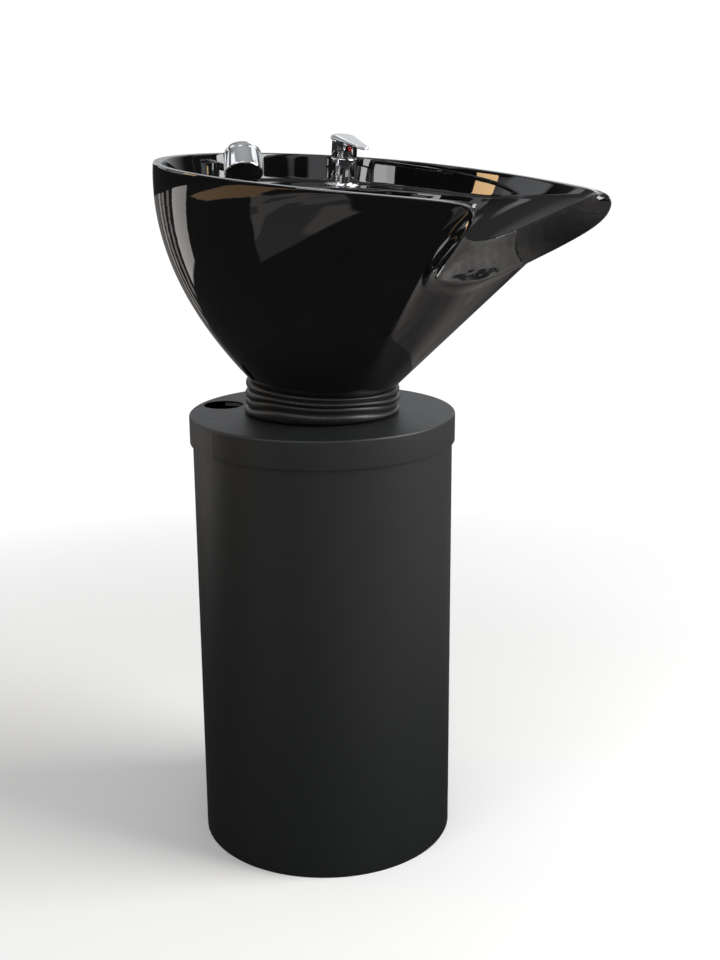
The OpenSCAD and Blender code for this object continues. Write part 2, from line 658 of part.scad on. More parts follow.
module shower_hose() {
    color([0.6, 0.6, 0.62]) on_basin() tube(SHOWER_ROUTE, shower_hose_r);
}
module hot_hose_upper() {
    color([0.65, 0.65, 0.67]) on_basin() tube(HOT_UPPER, hose_r);
}
module cold_hose_upper() {
    color([0.65, 0.65, 0.67]) on_basin() tube(COLD_UPPER, hose_r);
}
module hot_hose_lower() {
    color([0.65, 0.65, 0.67]) translate([0, 0, pivot_z]) tube(HOT_LOWER, hose_r);
}
module cold_hose_lower() {
    color([0.65, 0.65, 0.67]) translate([0, 0, pivot_z]) tube(COLD_LOWER, hose_r);
}
module hose_nuts() {
    nut_h = 18;
    color([0.75, 0.7, 0.5]) for (end = [HOT_LOWER[len(HOT_LOWER) - 1], COLD_LOWER[len(COLD_LOWER) - 1]])
        translate([end[0], end[1], pivot_z + end[2] - nut_h - 1]) difference() {
            hex(24, 0, nut_h);
            translate([0, 0, -1]) cylinder(r = 9.5, h = 13);
        }
}

pedestal_drum();
pedestal_lid();
lid_screws();
base_plate();
frame_posts();
top_plate();
tilt_bracket();
bracket_bolts();
hinge_bolts();
hinge_nuts();
friction_washers();
tilt_cradle();
cradle_gasket();
basin_bolts();
basin_nuts();
sleeve();
basin();
neck_cushion();
waste_flange();
waste_washer();
waste_nut();
waste_tail();
tail_nut();
waste_hose();
hair_strainer();
mixer_base_ring();
mixer_body();
mixer_cartridge();
mixer_spindle();
mixer_handle();
index_dot();
mixer_washer();
mixer_locknut();
shower_gland();
gland_washer();
gland_nut();
shower_cone();
hand_shower();
spray_face();
shower_hose();
hot_hose_upper();
cold_hose_upper();
hot_hose_lower();
cold_hose_lower();
hose_nuts();
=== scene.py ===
"""Looks of a hair-washing basin on a drum pedestal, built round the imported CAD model.

Metres, +Z up, +X towards the neck notch and +Y towards the mixer. The basin and all that it
carries lie in a frame of their own, tilted forward about the hinge line; `Tilted` turns
points from that frame into the row frame.
"""

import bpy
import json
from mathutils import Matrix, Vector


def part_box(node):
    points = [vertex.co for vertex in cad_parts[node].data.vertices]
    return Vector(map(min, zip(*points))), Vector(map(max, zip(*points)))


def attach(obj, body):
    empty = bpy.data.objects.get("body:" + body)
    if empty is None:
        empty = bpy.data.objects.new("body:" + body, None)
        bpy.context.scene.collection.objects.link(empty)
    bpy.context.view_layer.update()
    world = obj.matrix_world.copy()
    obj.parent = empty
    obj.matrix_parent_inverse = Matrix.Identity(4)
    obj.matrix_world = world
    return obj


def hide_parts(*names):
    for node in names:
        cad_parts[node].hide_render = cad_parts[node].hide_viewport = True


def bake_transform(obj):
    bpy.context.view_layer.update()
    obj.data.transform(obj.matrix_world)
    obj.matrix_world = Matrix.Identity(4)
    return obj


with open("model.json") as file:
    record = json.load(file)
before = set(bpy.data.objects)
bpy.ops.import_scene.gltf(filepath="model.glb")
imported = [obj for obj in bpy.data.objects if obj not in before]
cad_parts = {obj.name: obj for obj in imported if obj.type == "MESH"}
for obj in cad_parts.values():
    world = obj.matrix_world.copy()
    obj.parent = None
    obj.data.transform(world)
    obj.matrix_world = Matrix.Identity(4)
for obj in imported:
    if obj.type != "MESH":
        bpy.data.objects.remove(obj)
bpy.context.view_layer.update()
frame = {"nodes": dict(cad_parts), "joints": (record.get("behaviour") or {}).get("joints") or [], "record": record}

import json
import logging
import math
from collections.abc import Sequence
from dataclasses import dataclass, field, replace
from enum import Enum

import bmesh
import bpy
import numpy as np
from mathutils import Matrix, Vector
from numpy.typing import NDArray

Array = NDArray[np.float64]
log = logging.getLogger("basin")

MM = 0.001
TAU = 2 * math.pi
DOUBLES = 1e-6  # vertices closer than this are one
MIXER_TURN = math.radians(-28)  # the lever's bearing at rest
HEAD_TURN = math.radians(-40)  # the hand shower's bearing in its gland
HEAD_AT = (30 * MM, 0, 34 * MM)  # the barrel's middle from the stem's seat on the ledge
HEAD_DIP = math.radians(138)  # how far the spray face leans from straight up


class Body(str, Enum):
    """The bodies that pieces ride on."""

    PEDESTAL = "pedestal"
    BASIN = "basin"
    SPINDLE = "mixer_spindle"
    HANDLE = "mixer_handle"
    CONE = "shower_cone"
    SHOWER = "hand_shower"
    STRAINER = "hair_strainer"


def joint(name: str) -> dict:
    """Returns the record's joint of that name."""
    return next(j for j in frame["joints"] if j["name"] == name)


# ---------------------------------------------------------------- shader maths


class Wire:
    """A number that runs through a material's nodes; its operators add Math nodes."""

    def __init__(self, paint: "Paint", socket: bpy.types.NodeSocket) -> None:
        """Args: paint: the material's builder. socket: the output that carries the number."""
        self.paint = paint
        self.socket = socket

    def _math(self, operation: str, *values: "Wire | float") -> "Wire":
        """Returns the result of one Math node of that operation on the values."""
        return self.paint.value("ShaderNodeMath", {"operation": operation}, dict(enumerate(values)))

    def __add__(self, other: "Wire | float") -> "Wire":
        """Returns self + other."""
        return self._math("ADD", self, other)

    __radd__ = __add__

    def __sub__(self, other: "Wire | float") -> "Wire":
        """Returns self - other."""
        return self._math("SUBTRACT", self, other)

    def __rsub__(self, other: float) -> "Wire":
        """Returns other - self."""
        return self._math("SUBTRACT", other, self)

    def __mul__(self, other: "Wire | float") -> "Wire":
        """Returns self * other."""
        return self._math("MULTIPLY", self, other)

    __rmul__ = __mul__

    def __truediv__(self, other: "Wire") -> "Wire":
        """Returns self / other."""
        return self._math("DIVIDE", self, other)

    def sine(self) -> "Wire":
        """Returns the sine of self, in radians."""
        return self._math("SINE", self)

    def clipped(self) -> "Wire":
        """Returns self held between 0 and 1."""
        return self._math("MINIMUM", self._math("MAXIMUM", self, 0.0), 1.0)

    def step(self, low: float, high: float) -> "Wire":
        """Returns 0 below low, 1 above high and a straight ramp between them."""
        return ((self - low) * (1.0 / (high - low))).clipped()


class Paint:
    """Builds one material out of nodes."""

    COORDS = "Object"

    def __init__(self, name: str) -> None:
        """Args: name: the material's name."""
        self.material = bpy.data.materials.new(name)
        self.material.use_nodes = True
        self.tree = self.material.node_tree
        self.shader = self.tree.nodes["Principled BSDF"]

    def node(self, kind: str, settings: dict | None = None, inputs: dict | None = None) -> bpy.types.Node:
        """Adds one node.

        Args:
            kind: the node's type name.
            settings: properties to set first, such as an operation.
            inputs: values or links by socket name or number.

        Returns:
            The new node.
        """
        made = self.tree.nodes.new(kind)
        for key, setting in (settings or {}).items():
            setattr(made, key, setting)
        for key, value in (inputs or {}).items():
            self.feed(made, key, value)
        return made

    def feed(self, target: bpy.types.Node, key: str | int, value: object) -> None:
        """Sets or links one input of a node.

        Args:
            target: the node.
            key: the input's name or number.
            value: a number, a colour, a Wire or an output socket.
        """
        socket = value.socket if isinstance(value, Wire) else value
        if isinstance(socket, bpy.types.NodeSocket):
            self.tree.links.new(socket, target.inputs[key])
        else:
            target.inputs[key].default_value = value

    def value(self, kind: str, settings: dict | None = None, inputs: dict | None = None,
              output: str | int = 0) -> Wire:
        """Adds a node and returns one of its outputs as a Wire; Args as in node()."""
        return Wire(self, self.node(kind, settings, inputs).outputs[output])

    def place(self, stretch: Sequence[float] = (1, 1, 1)) -> bpy.types.NodeSocket:
        """Returns the coordinates, stretched by a factor along each axis."""
        where = self.node("ShaderNodeTexCoord").outputs[self.COORDS]
        return self.node("ShaderNodeMapping", None, {"Vector": where, "Scale": tuple(stretch)}).outputs[0]

    def noise(self, scale: float, detail: float = 2.0, stretch: Sequence[float] = (1, 1, 1),
              distortion: float = 0.0) -> Wire:
        """Returns a noise between 0 and 1 with `scale` cells in a metre."""
        inputs = {"Vector": self.place(stretch), "Scale": scale, "Detail": detail, "Distortion": distortion}
        return self.value("ShaderNodeTexNoise", None, inputs)

    def mixed(self, factor: Wire, low: Sequence[float], high: Sequence[float]) -> bpy.types.NodeSocket:
        """Returns the colour that runs from low to high with the factor."""
        # a Mix node's colours are its inputs 6 and 7 and its output 2
        colours = {0: factor, 6: (*low, 1.0), 7: (*high, 1.0)}
        return self.node("ShaderNodeMix", {"data_type": "RGBA"}, colours).outputs[2]

    def bumped(self, height: Wire, depth: float, normal: bpy.types.NodeSocket | None = None,
               ) -> bpy.types.NodeSocket:
        """Returns a normal for a relief.

        Args:
            height: the relief, 0 to 1.
            depth: its depth in metres.
            normal: a normal to add it to.
        """
        inputs = {"Height": height, "Distance": depth, "Strength": 1.0}
        if normal is not None:
            inputs["Normal"] = normal
        return self.node("ShaderNodeBump", None, inputs).outputs[0]

    def surface(self, **inputs: object) -> bpy.types.Material:
        """Sets the shader's inputs, with spaces for underscores, and returns the material."""
        for key, value in inputs.items():
            self.feed(self.shader, key.replace("_", " "), value)
        return self.material


class Sky(Paint):
    """Builds the surroundings out of nodes; their coordinates are directions."""

    COORDS = "Generated"

    def __init__(self, name: str) -> None:
        """Args: name: the world's name."""
        world = bpy.data.worlds.new(name)
        world.use_nodes = True
        self.tree = world.node_tree
        bpy.context.scene.world = world


# ---------------------------------------------------------------- finishes


@dataclass(frozen=True)
class Glaze:
    """Deep gloss black glaze on ceramic."""

    slot: str = "ceramic_black"

    def material(self) -> bpy.types.Material:
        """Returns the glaze: almost black, mirror smooth, with a faint long waviness."""
        paint = Paint("black_glaze")
        cloud = paint.noise(9, 3)
        film = paint.noise(42, 4, distortion=0.6)
        waves = paint.bumped(paint.noise(16, 1.5), 0.00022)
        pores = paint.bumped(paint.noise(900, 1), 0.0000015, waves)
        return paint.surface(
            Base_Color=paint.mixed(cloud, (0.0024, 0.0025, 0.0029), (0.0042, 0.0042, 0.0046)),
            Roughness=0.022 + film.step(0.5, 0.8) * 0.03, Coat_Weight=0.35 + cloud * 0.15,
            Coat_Roughness=0.015, IOR=1.5, Normal=pores)


@dataclass(frozen=True)
class Chrome:
    """Mirror chrome plate over brass."""

    slot: str = "chrome"
    name: str = "chrome_plate"

    def material(self) -> bpy.types.Material:
        """Returns chrome with a breath of haze and water marks."""
        paint = Paint(self.name)
        haze = paint.noise(70, 4, distortion=1.2)
        spots = paint.noise(330, 2).step(0.66, 0.74)
        return paint.surface(
            Base_Color=paint.mixed(haze, (0.80, 0.81, 0.83), (0.90, 0.91, 0.92)), Metallic=1.0,
            Roughness=0.035 + haze.step(0.45, 0.8) * 0.07 + spots * 0.05,
            Normal=paint.bumped(paint.noise(120, 1), 0.00001))


@dataclass(frozen=True)
class PowderCoat:
    """Fine-textured matte powder coat on sheet steel."""

    slot: str = "powder_coat"

    def material(self) -> bpy.types.Material:
        """Returns the coat: dark grey-green, grained, with soft handling marks."""
        paint = Paint("powder_coat")
        grain = paint.noise(1500, 3)
        rolled = paint.noise(5, 3, (1, 1, 0.25))
        rubbed = paint.noise(38, 5, (1, 1, 0.5), 0.8).step(0.55, 0.8)
        speck = paint.noise(2600, 1).step(0.7, 0.76)
        shade = (rolled * 0.55 + grain * 0.35 + rubbed * 0.1 + speck * 0.25).clipped()
        relief = paint.bumped(grain, 0.00006)
        return paint.surface(
            Base_Color=paint.mixed(shade, (0.0055, 0.0065, 0.007), (0.014, 0.0155, 0.0162)),
            Roughness=0.4 + grain * 0.12 - rubbed * 0.06,
            Normal=paint.bumped(paint.noise(3, 1, (1, 1, 0.3)), 0.0012, relief))


@dataclass(frozen=True)
class Rubber:
    """Black rubber, from the satin of a boot to the dull of a gasket."""

    slot: str = "rubber_black"
    name: str = "boot_rubber"
    gloss: float = 0.36

    def material(self) -> bpy.types.Material:
        """Returns rubber with drawn streaks round it and patches of dust."""
        paint = Paint(self.name)
        streaks = paint.noise(28, 4, (1, 1, 9), 0.4)
        dust = paint.noise(260, 4).step(0.52, 0.8)
        fine = paint.bumped(paint.noise(1100, 2), 0.00002)
        return paint.surface(
            Base_Color=paint.mixed(dust, (0.012, 0.012, 0.0125), (0.028, 0.028, 0.029)),
            Roughness=self.gloss + streaks * 0.12 + dust * 0.08,
            Normal=paint.bumped(streaks, 0.0003, fine))


@dataclass(frozen=True)
class Gel:
    """Skin of a soft gel pad."""

    slot: str = "gel_black"

    def material(self) -> bpy.types.Material:
        """Returns a wet-looking black skin with small wrinkles."""
        paint = Paint("gel_skin")
        folds = paint.noise(60, 2, distortion=1.2)
        milk = paint.noise(30, 3).step(0.45, 0.8)
        relief = paint.bumped(folds, 0.0006)
        return paint.surface(
            Base_Color=paint.mixed(milk, (0.004, 0.0045, 0.005), (0.010, 0.011, 0.011)),
            Roughness=0.10 + folds * 0.08, Coat_Weight=0.7 + milk * 0.2, Coat_Roughness=0.08,
            Normal=paint.bumped(paint.noise(700, 2), 0.00002, relief))


@dataclass(frozen=True)
class Moulded:
    """Injection-moulded plastic."""

    slot: str = "plastic_black"
    name: str = "moulded_black"
    dark: tuple[float, float, float] = (0.012, 0.012, 0.012)
    light: tuple[float, float, float] = (0.022, 0.022, 0.023)
    gloss: float = 0.34

    def material(self) -> bpy.types.Material:
        """Returns plastic with an eroded mould texture and flow marks."""
        paint = Paint(self.name)
        grain = paint.noise(1700, 2)
        flow = paint.noise(24, 3, (1, 1, 3), 0.7)
        return paint.surface(
            Base_Color=paint.mixed(flow, self.dark, self.light),
            Roughness=self.gloss + grain * 0.14, Normal=paint.bumped(grain, 0.00002))


@dataclass(frozen=True)
class Metal:
    """Bare or plated metal of the hidden works."""

    slot: str
    name: str
    dark: tuple[float, float, float]
    light: tuple[float, float, float]
    gloss: float = 0.3
    metallic: float = 1.0
    stretch: tuple[float, float, float] = (1, 1, 1)

    def material(self) -> bpy.types.Material:
        """Returns metal with clouded tone and a fine drawn grain."""
        paint = Paint(self.name)
        cloud = paint.noise(60, 4, distortion=0.8)
        drawn = paint.noise(800, 3, self.stretch)
        return paint.surface(
            Base_Color=paint.mixed(cloud, self.dark, self.light), Metallic=self.metallic,
            Roughness=self.gloss + drawn * 0.12 + cloud * 0.08, Normal=paint.bumped(drawn, 0.00002))


@dataclass(frozen=True)
class Braid:
    """Braided steel sleeve of a hose; its pattern follows the hose's own UV map."""

    slot: str = "braid"
    wires_round: float = 8.0
    wires_along: float = 1.0

    def material(self) -> bpy.types.Material:
        """Returns two crossing sets of wires with painted shade between them; v counts the hose's turns of one
        wire.
        """
        paint = Paint("braided_steel")
        split = paint.node("ShaderNodeSeparateXYZ", None,
                           {0: paint.node("ShaderNodeUVMap", {"uv_map": "UVMap"}).outputs[0]})
        around, along = Wire(paint, split.outputs[0]), Wire(paint, split.outputs[1])
        one = ((around * self.wires_round + along * self.wires_along) * TAU).sine()
        other = ((around * self.wires_round - along * self.wires_along) * TAU).sine()
        # weave is the wires' relief; the colour darkens where it is low: painted shade between the wires
        weave = (one * other * 0.5 + 0.5).clipped()
        return paint.surface(
            Base_Color=paint.mixed(weave, (0.12, 0.12, 0.13), (0.62, 0.63, 0.65)), Metallic=0.9,
            Roughness=0.5 - weave * 0.2, Normal=paint.bumped(weave, 0.0006))


POWDER = PowderCoat()
RUBBER = Rubber()
GASKET = Rubber(name="gasket_rubber", gloss=0.55)
CHROME = Chrome()
BLACK_PLASTIC = Moulded()
CREAM = Moulded("plastic_cream", "moulded_cream", (0.62, 0.58, 0.46), (0.74, 0.70, 0.58), 0.28)
RED = Moulded("dot_red", "red_marker", (0.42, 0.012, 0.02), (0.58, 0.02, 0.03), 0.18)
FRAME_STEEL = Metal("frame_steel", "frame_paint", (0.11, 0.115, 0.12), (0.17, 0.175, 0.18), 0.42, 0.0)
ZINC = Metal("zinc_steel", "zinc_plate", (0.42, 0.43, 0.45), (0.62, 0.63, 0.64), 0.24, 1.0, (1, 1, 6))
BRASS = Metal("brass", "turned_brass", (0.55, 0.40, 0.16), (0.74, 0.58, 0.28), 0.2, 1.0, (1, 1, 8))


class Wardrobe:
    """Makes each finish's material once and puts it on pieces."""

    def __init__(self) -> None:
        """Starts with no materials made."""
        self.made: dict[object, bpy.types.Material] = {}

    def dress(self, piece: bpy.types.Object, finish: object) -> bpy.types.Object:
        """Gives a piece one finish.

        Args:
            piece: a mesh object.
            finish: one of the finishes above.

        Returns:
            The piece.
        """
        if finish not in self.made:
            self.made[finish] = finish.material()
        piece.data.materials.clear()
        piece.data.materials.append(self.made[finish])
        return piece

    def dress_nodes(self, finish: object, *nodes: str) -> None:
        """Gives CAD nodes that stay as they are one finish.

        Args:
            finish: the finish.
            nodes: the nodes' names.
        """
        for name in nodes:
            self.dress(frame["nodes"][name], finish)


# ---------------------------------------------------------------- surfaces


def unit(vectors: Array) -> Array:
    """Returns the vectors divided by their lengths, along the last axis."""
    return vectors / np.linalg.norm(vectors, axis=-1, keepdims=True)


def mix(a: Array, b: Array, share: Array | float) -> Array:
    """Returns a + (b - a) * share."""
    return a + (b - a) * share


def smooth(x: Array) -> Array:
    """Returns 3c^2 - 2c^3, where c is x held between 0 and 1."""
    c = np.clip(x, 0, 1)
    return c * c * (3 - 2 * c)


def turns(count: int) -> Array:
    """Returns `count` angles spread over one turn, the last short of the first."""
    return np.arange(count) * (TAU / count)


def cubic_weights(f: Array) -> list[Array]:
    """Returns the four weights of a uniform cubic B-spline at the fraction f of a span."""
    return [(1 - f) ** 3 / 6, (3 * f**3 - 6 * f**2 + 4) / 6,
            (1 + 3 * f + 3 * f**2 - 3 * f**3) / 6, f**3 / 6]


def closed_spline(control: Array, t: Array) -> Array:
    """A closed uniform cubic B-spline.

    Args:
        control: control points along the first axis.
        t: parameters, counted in control points.

    Returns:
        Points with the shape of t and the control points' other axes.
    """
    start = np.floor(t).astype(int)
    shape = t.shape + (1,) * (control.ndim - 1)
    weights = cubic_weights((t - start).reshape(shape))
    return sum(w * control[(start + k) % len(control)] for w, k in zip(weights, (-1, 0, 1, 2)))


def through(points: Array, count: int) -> Array:
    """A Catmull-Rom curve through points.

    Args:
        points: (n, 3) points on the curve.
        count: how many samples.

    Returns:
        (count, 3) samples, evenly spread in the parameter.
    """
    padded = np.vstack([points[:1], points, points[-1:]])
    t = np.linspace(0, len(points) - 1, count)
    i = np.minimum(t.astype(int), len(points) - 2)
    f = (t - i)[:, None]
    a, b, c, d = (padded[i + k] for k in range(4))
    bend, twist = 2 * a - 5 * b + 4 * c - d, 3 * b - a - 3 * c + d
    return (2 * b + (c - a) * f + bend * f**2 + twist * f**3) / 2


@dataclass(frozen=True)
class Tilted:
    """A frame: an origin and three unit axes, in the row frame."""

    origin: Array
    x: Array
    y: Array
    z: Array

    def world(self, points: Array) -> Array:
        """Returns points given in this frame, in the row frame."""
        return self.origin + points @ np.stack([self.x, self.y, self.z])

    def shifted(self, by: Sequence[float], turn: float = 0.0) -> "Tilted":
        """Returns this frame moved by a vector of its own and turned about its z, in radians."""
        c, s = math.cos(turn), math.sin(turn)
        origin = self.world(np.array(by, float))
        return Tilted(origin, c * self.x + s * self.y, c * self.y - s * self.x, self.z)

    def dipped(self, angle: float) -> "Tilted":
        """Returns this frame turned about its y so that z leans towards x, in radians."""
        c, s = math.cos(angle), math.sin(angle)
        return Tilted(self.origin, c * self.x - s * self.z, self.y, s * self.x + c * self.z)


def basin_frame() -> Tilted:
    """Returns the basin's frame: its origin on the hinge line, its z along the mixer's axis."""
    up = np.array(joint("mixer_swivel")["axis"], float)
    across = np.array(joint("basin_tilt")["axis"], float)
    return Tilted(np.array(joint("basin_tilt")["pos_m"], float), np.cross(across, up), across, up)


ROW = Tilted(np.zeros(3), *np.eye(3))


def into_object(name: str, points: Array, faces: Array, uv: Array | None = None) -> bpy.types.Object:
    """Makes a mesh object, merges its doubles and turns its faces outwards.

    Args:
        name: the object's name.
        points: (n, 3) vertices in the row frame.
        faces: (m, 4) corners of quads.
        uv: (m, 4, 2) texture coordinates, if the finish needs them.

    Returns:
        The object, at the origin, with smooth faces.
    """
    a, b, c, d = (points[faces[:, k]] for k in range(4))
    volume = sum(np.einsum("ij,ij->", np.cross(p - a, q - a), a) for p, q in ((b, c), (c, d)))
    if volume < 0:
        faces = faces[:, ::-1]
        uv = None if uv is None else uv[:, ::-1]
    mesh = bpy.data.meshes.new(name)
    mesh.vertices.add(len(points))
    mesh.vertices.foreach_set("co", points.ravel())
    mesh.loops.add(faces.size)
    mesh.loops.foreach_set("vertex_index", faces.ravel())
    mesh.polygons.add(len(faces))
    mesh.polygons.foreach_set("loop_start", np.arange(len(faces)) * 4)
    mesh.polygons.foreach_set("use_smooth", np.ones(len(faces), bool))
    if uv is not None:
        mesh.uv_layers.new(name="UVMap").data.foreach_set("uv", uv.ravel())
    mesh.update(calc_edges=True)
    work = bmesh.new()
    work.from_mesh(mesh)
    bmesh.ops.remove_doubles(work, verts=work.verts, dist=DOUBLES)
    bmesh.ops.dissolve_degenerate(work, edges=work.edges, dist=DOUBLES / 10)
    work.to_mesh(mesh)
    work.free()
    made = bpy.data.objects.new(name, mesh)
    bpy.context.scene.collection.objects.link(made)
    return made


def grid_object(name: str, grid: Array, around_rows: bool = False, around_cols: bool = True,
                uv_turns: Sequence[float] | None = None) -> bpy.types.Object:
    """Makes an object from a grid of points.

    Args:
        name: the object's name.
        grid: (rows, columns, 3) points in the row frame.
        around_rows: the last row joins the first.
        around_cols: the last column joins the first.
        uv_turns: how far v runs in one row, and u in one column, if it needs a UV map.

    Returns:
        The object; rows that shrink to a point close as poles.
    """
    rows, cols = grid.shape[:2]
    i, j = np.meshgrid(np.arange(rows if around_rows else rows - 1),
                       np.arange(cols if around_cols else cols - 1), indexing="ij")
    corners = [(i + di, j + dj) for di, dj in ((0, 0), (0, 1), (1, 1), (1, 0))]
    faces = np.stack([r % rows * cols + c % cols for r, c in corners], -1).reshape(-1, 4)
    uv = None
    if uv_turns is not None:
        flat = [np.stack([c * uv_turns[1], r * uv_turns[0]], -1) for r, c in corners]
        uv = np.stack(flat, 2).reshape(-1, 4, 2)
    return into_object(name, grid.reshape(-1, 3), faces, uv)


def rounded(corners: Sequence[tuple[float, float, float]], steps: int = 6, closed: bool = True) -> Array:
    """Rounds the corners of an outline with arcs.

    Args:
        corners: (r, z, rounding) of each corner, in metres.
        steps: points on each arc.
        closed: the last corner joins the first.

    Returns:
        (n, 2) points. An arc starts its rounding times tan(half the turn) before the corner.
    """
    places = np.array([c[:2] for c in corners], float)
    made = []
    for k, (_, _, radius) in enumerate(corners):
        here = places[k]
        if radius == 0 or (not closed and k in (0, len(corners) - 1)):
            made.append(here[None])
            continue
        before, after = unit(places[k - 1] - here), unit(places[(k + 1) % len(places)] - here)
        half = math.acos(float(np.clip(before @ after, -1, 1))) / 2
        middle = here + unit(before + after) * (radius / math.sin(half))
        start, end = (here + way * (radius / math.tan(half)) for way in (before, after))
        t = np.linspace(0, 1, steps)[:, None]
        made.append(middle + radius * unit(mix(start, end, t) - middle))
    return np.vstack(made)


def lathe(name: str, outline: Array, place: Tilted, closed: bool = True, count: int = 96) -> bpy.types.Object:
    """Turns an outline round an axis: each point (r, z) becomes a circle of radius r at z.

    Args:
        name: the object's name.
        outline: (n, 2) points.
        place: the frame whose z is the axis.
        closed: the outline is a closed loop; otherwise it starts and ends on the axis.
        count: points round each circle.

    Returns:
        The turned object.
    """
    a = turns(count)[None, :]
    r, z = outline[:, :1], outline[:, 1:]
    grid = np.stack([r * np.cos(a), r * np.sin(a), z + 0 * a], -1)
    return grid_object(name, place.world(grid), around_rows=closed)


def plug(name: str, radius: float, low: float, high: float, place: Tilted, count: int) -> bpy.types.Object:
    """Returns a plain cylinder about a frame's z, to cut a hole with."""
    outline = rounded([(0, low, 0), (radius, low, 0), (radius, high, 0), (0, high, 0)], closed=False)
    return lathe(name, outline, place, closed=False, count=count)


def swept(name: str, line: Array, radius: Array | float, sides: int = 20,
          pitch: float | None = None) -> bpy.types.Object:
    """Carries a circle along a line and closes both ends.

    Args:
        name: the object's name.
        line: (n, 3) points of the centreline.
        radius: one radius, or one for each point.
        sides: points round the circle.
        pitch: the length in which a wire of a braid goes once round, if it has a UV map.

    Returns:
        The tube: centre + radius * (cos a * side + sin a * other side).
    """
    way = unit(np.gradient(line, axis=0))
    side = unit(np.cross(way, np.array([1, 0.3, 0.05])))
    other = np.cross(way, side)
    a = turns(sides)[None, :, None]
    reach = np.broadcast_to(radius, (len(line),))[:, None, None]
    grid = line[:, None] + reach * (np.cos(a) * side[:, None] + np.sin(a) * other[:, None])
    ends = [np.broadcast_to(p, (1, sides, 3)) for p in (line[0], line[-1])]
    grid = np.concatenate([ends[0], grid, ends[1]])
    length = float(np.linalg.norm(np.diff(line, axis=0), axis=1).sum())
    along = None if pitch is None else (length / pitch / len(line), 1 / sides)
    return grid_object(name, grid, uv_turns=along)


def combined(piece: bpy.types.Object, tool: bpy.types.Object, operation: str) -> bpy.types.Object:
    """Adds a tool to a piece or cuts it out, and removes the tool.

    Args:
        piece: the object that stays.
        tool: the object that is used up.
        operation: UNION or DIFFERENCE.

    Returns:
        The piece, with the result applied.
    """
    cut = piece.modifiers.new("combine", "BOOLEAN")
    cut.operation = operation
    cut.solver = "EXACT"
    cut.object = tool
    settle(piece)
    bpy.data.objects.remove(tool)
    return piece


def settle(piece: bpy.types.Object) -> None:
    """Applies a piece's modifiers to its mesh."""
    graph = bpy.context.evaluated_depsgraph_get()
    done = bpy.data.meshes.new_from_object(piece.evaluated_get(graph))
    piece.modifiers.clear()
    piece.data = done


def soft_edges(piece: bpy.types.Object, width: float, degrees: float = 40) -> bpy.types.Object:
    """Rounds every edge sharper than an angle, and shades the rest smooth.

    Args:
        piece: the object.
        width: the bevel's width in metres.
        degrees: the angle.

    Returns:
        The piece.
    """
    bevel = piece.modifiers.new("edges", "BEVEL")
    bevel.width = width
    bevel.segments = 3
    bevel.limit_method = "ANGLE"
    bevel.angle_limit = math.radians(degrees)
    settle(piece)
    piece.data.set_sharp_from_angle(angle=math.radians(degrees))
    return piece


def keep(piece: bpy.types.Object, body: Body, *nodes: str) -> bpy.types.Object:
    """Makes a piece ride on a body and stand for CAD nodes; returns the piece."""
    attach(piece, body.value)
    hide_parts(*nodes)
    log.info("%s rides on %s and stands for %s", piece.name, body.value, ", ".join(nodes))
    return piece


# ---------------------------------------------------------------- basin


def mirrored(half: Sequence[Sequence[float]]) -> Array:
    """Returns a half outline and its mirror image in the XZ plane, in metres from millimetres."""
    points = np.array(half, float) * MM
    return np.vstack([points, points[-2:0:-1] * np.array([1, -1, 1])])


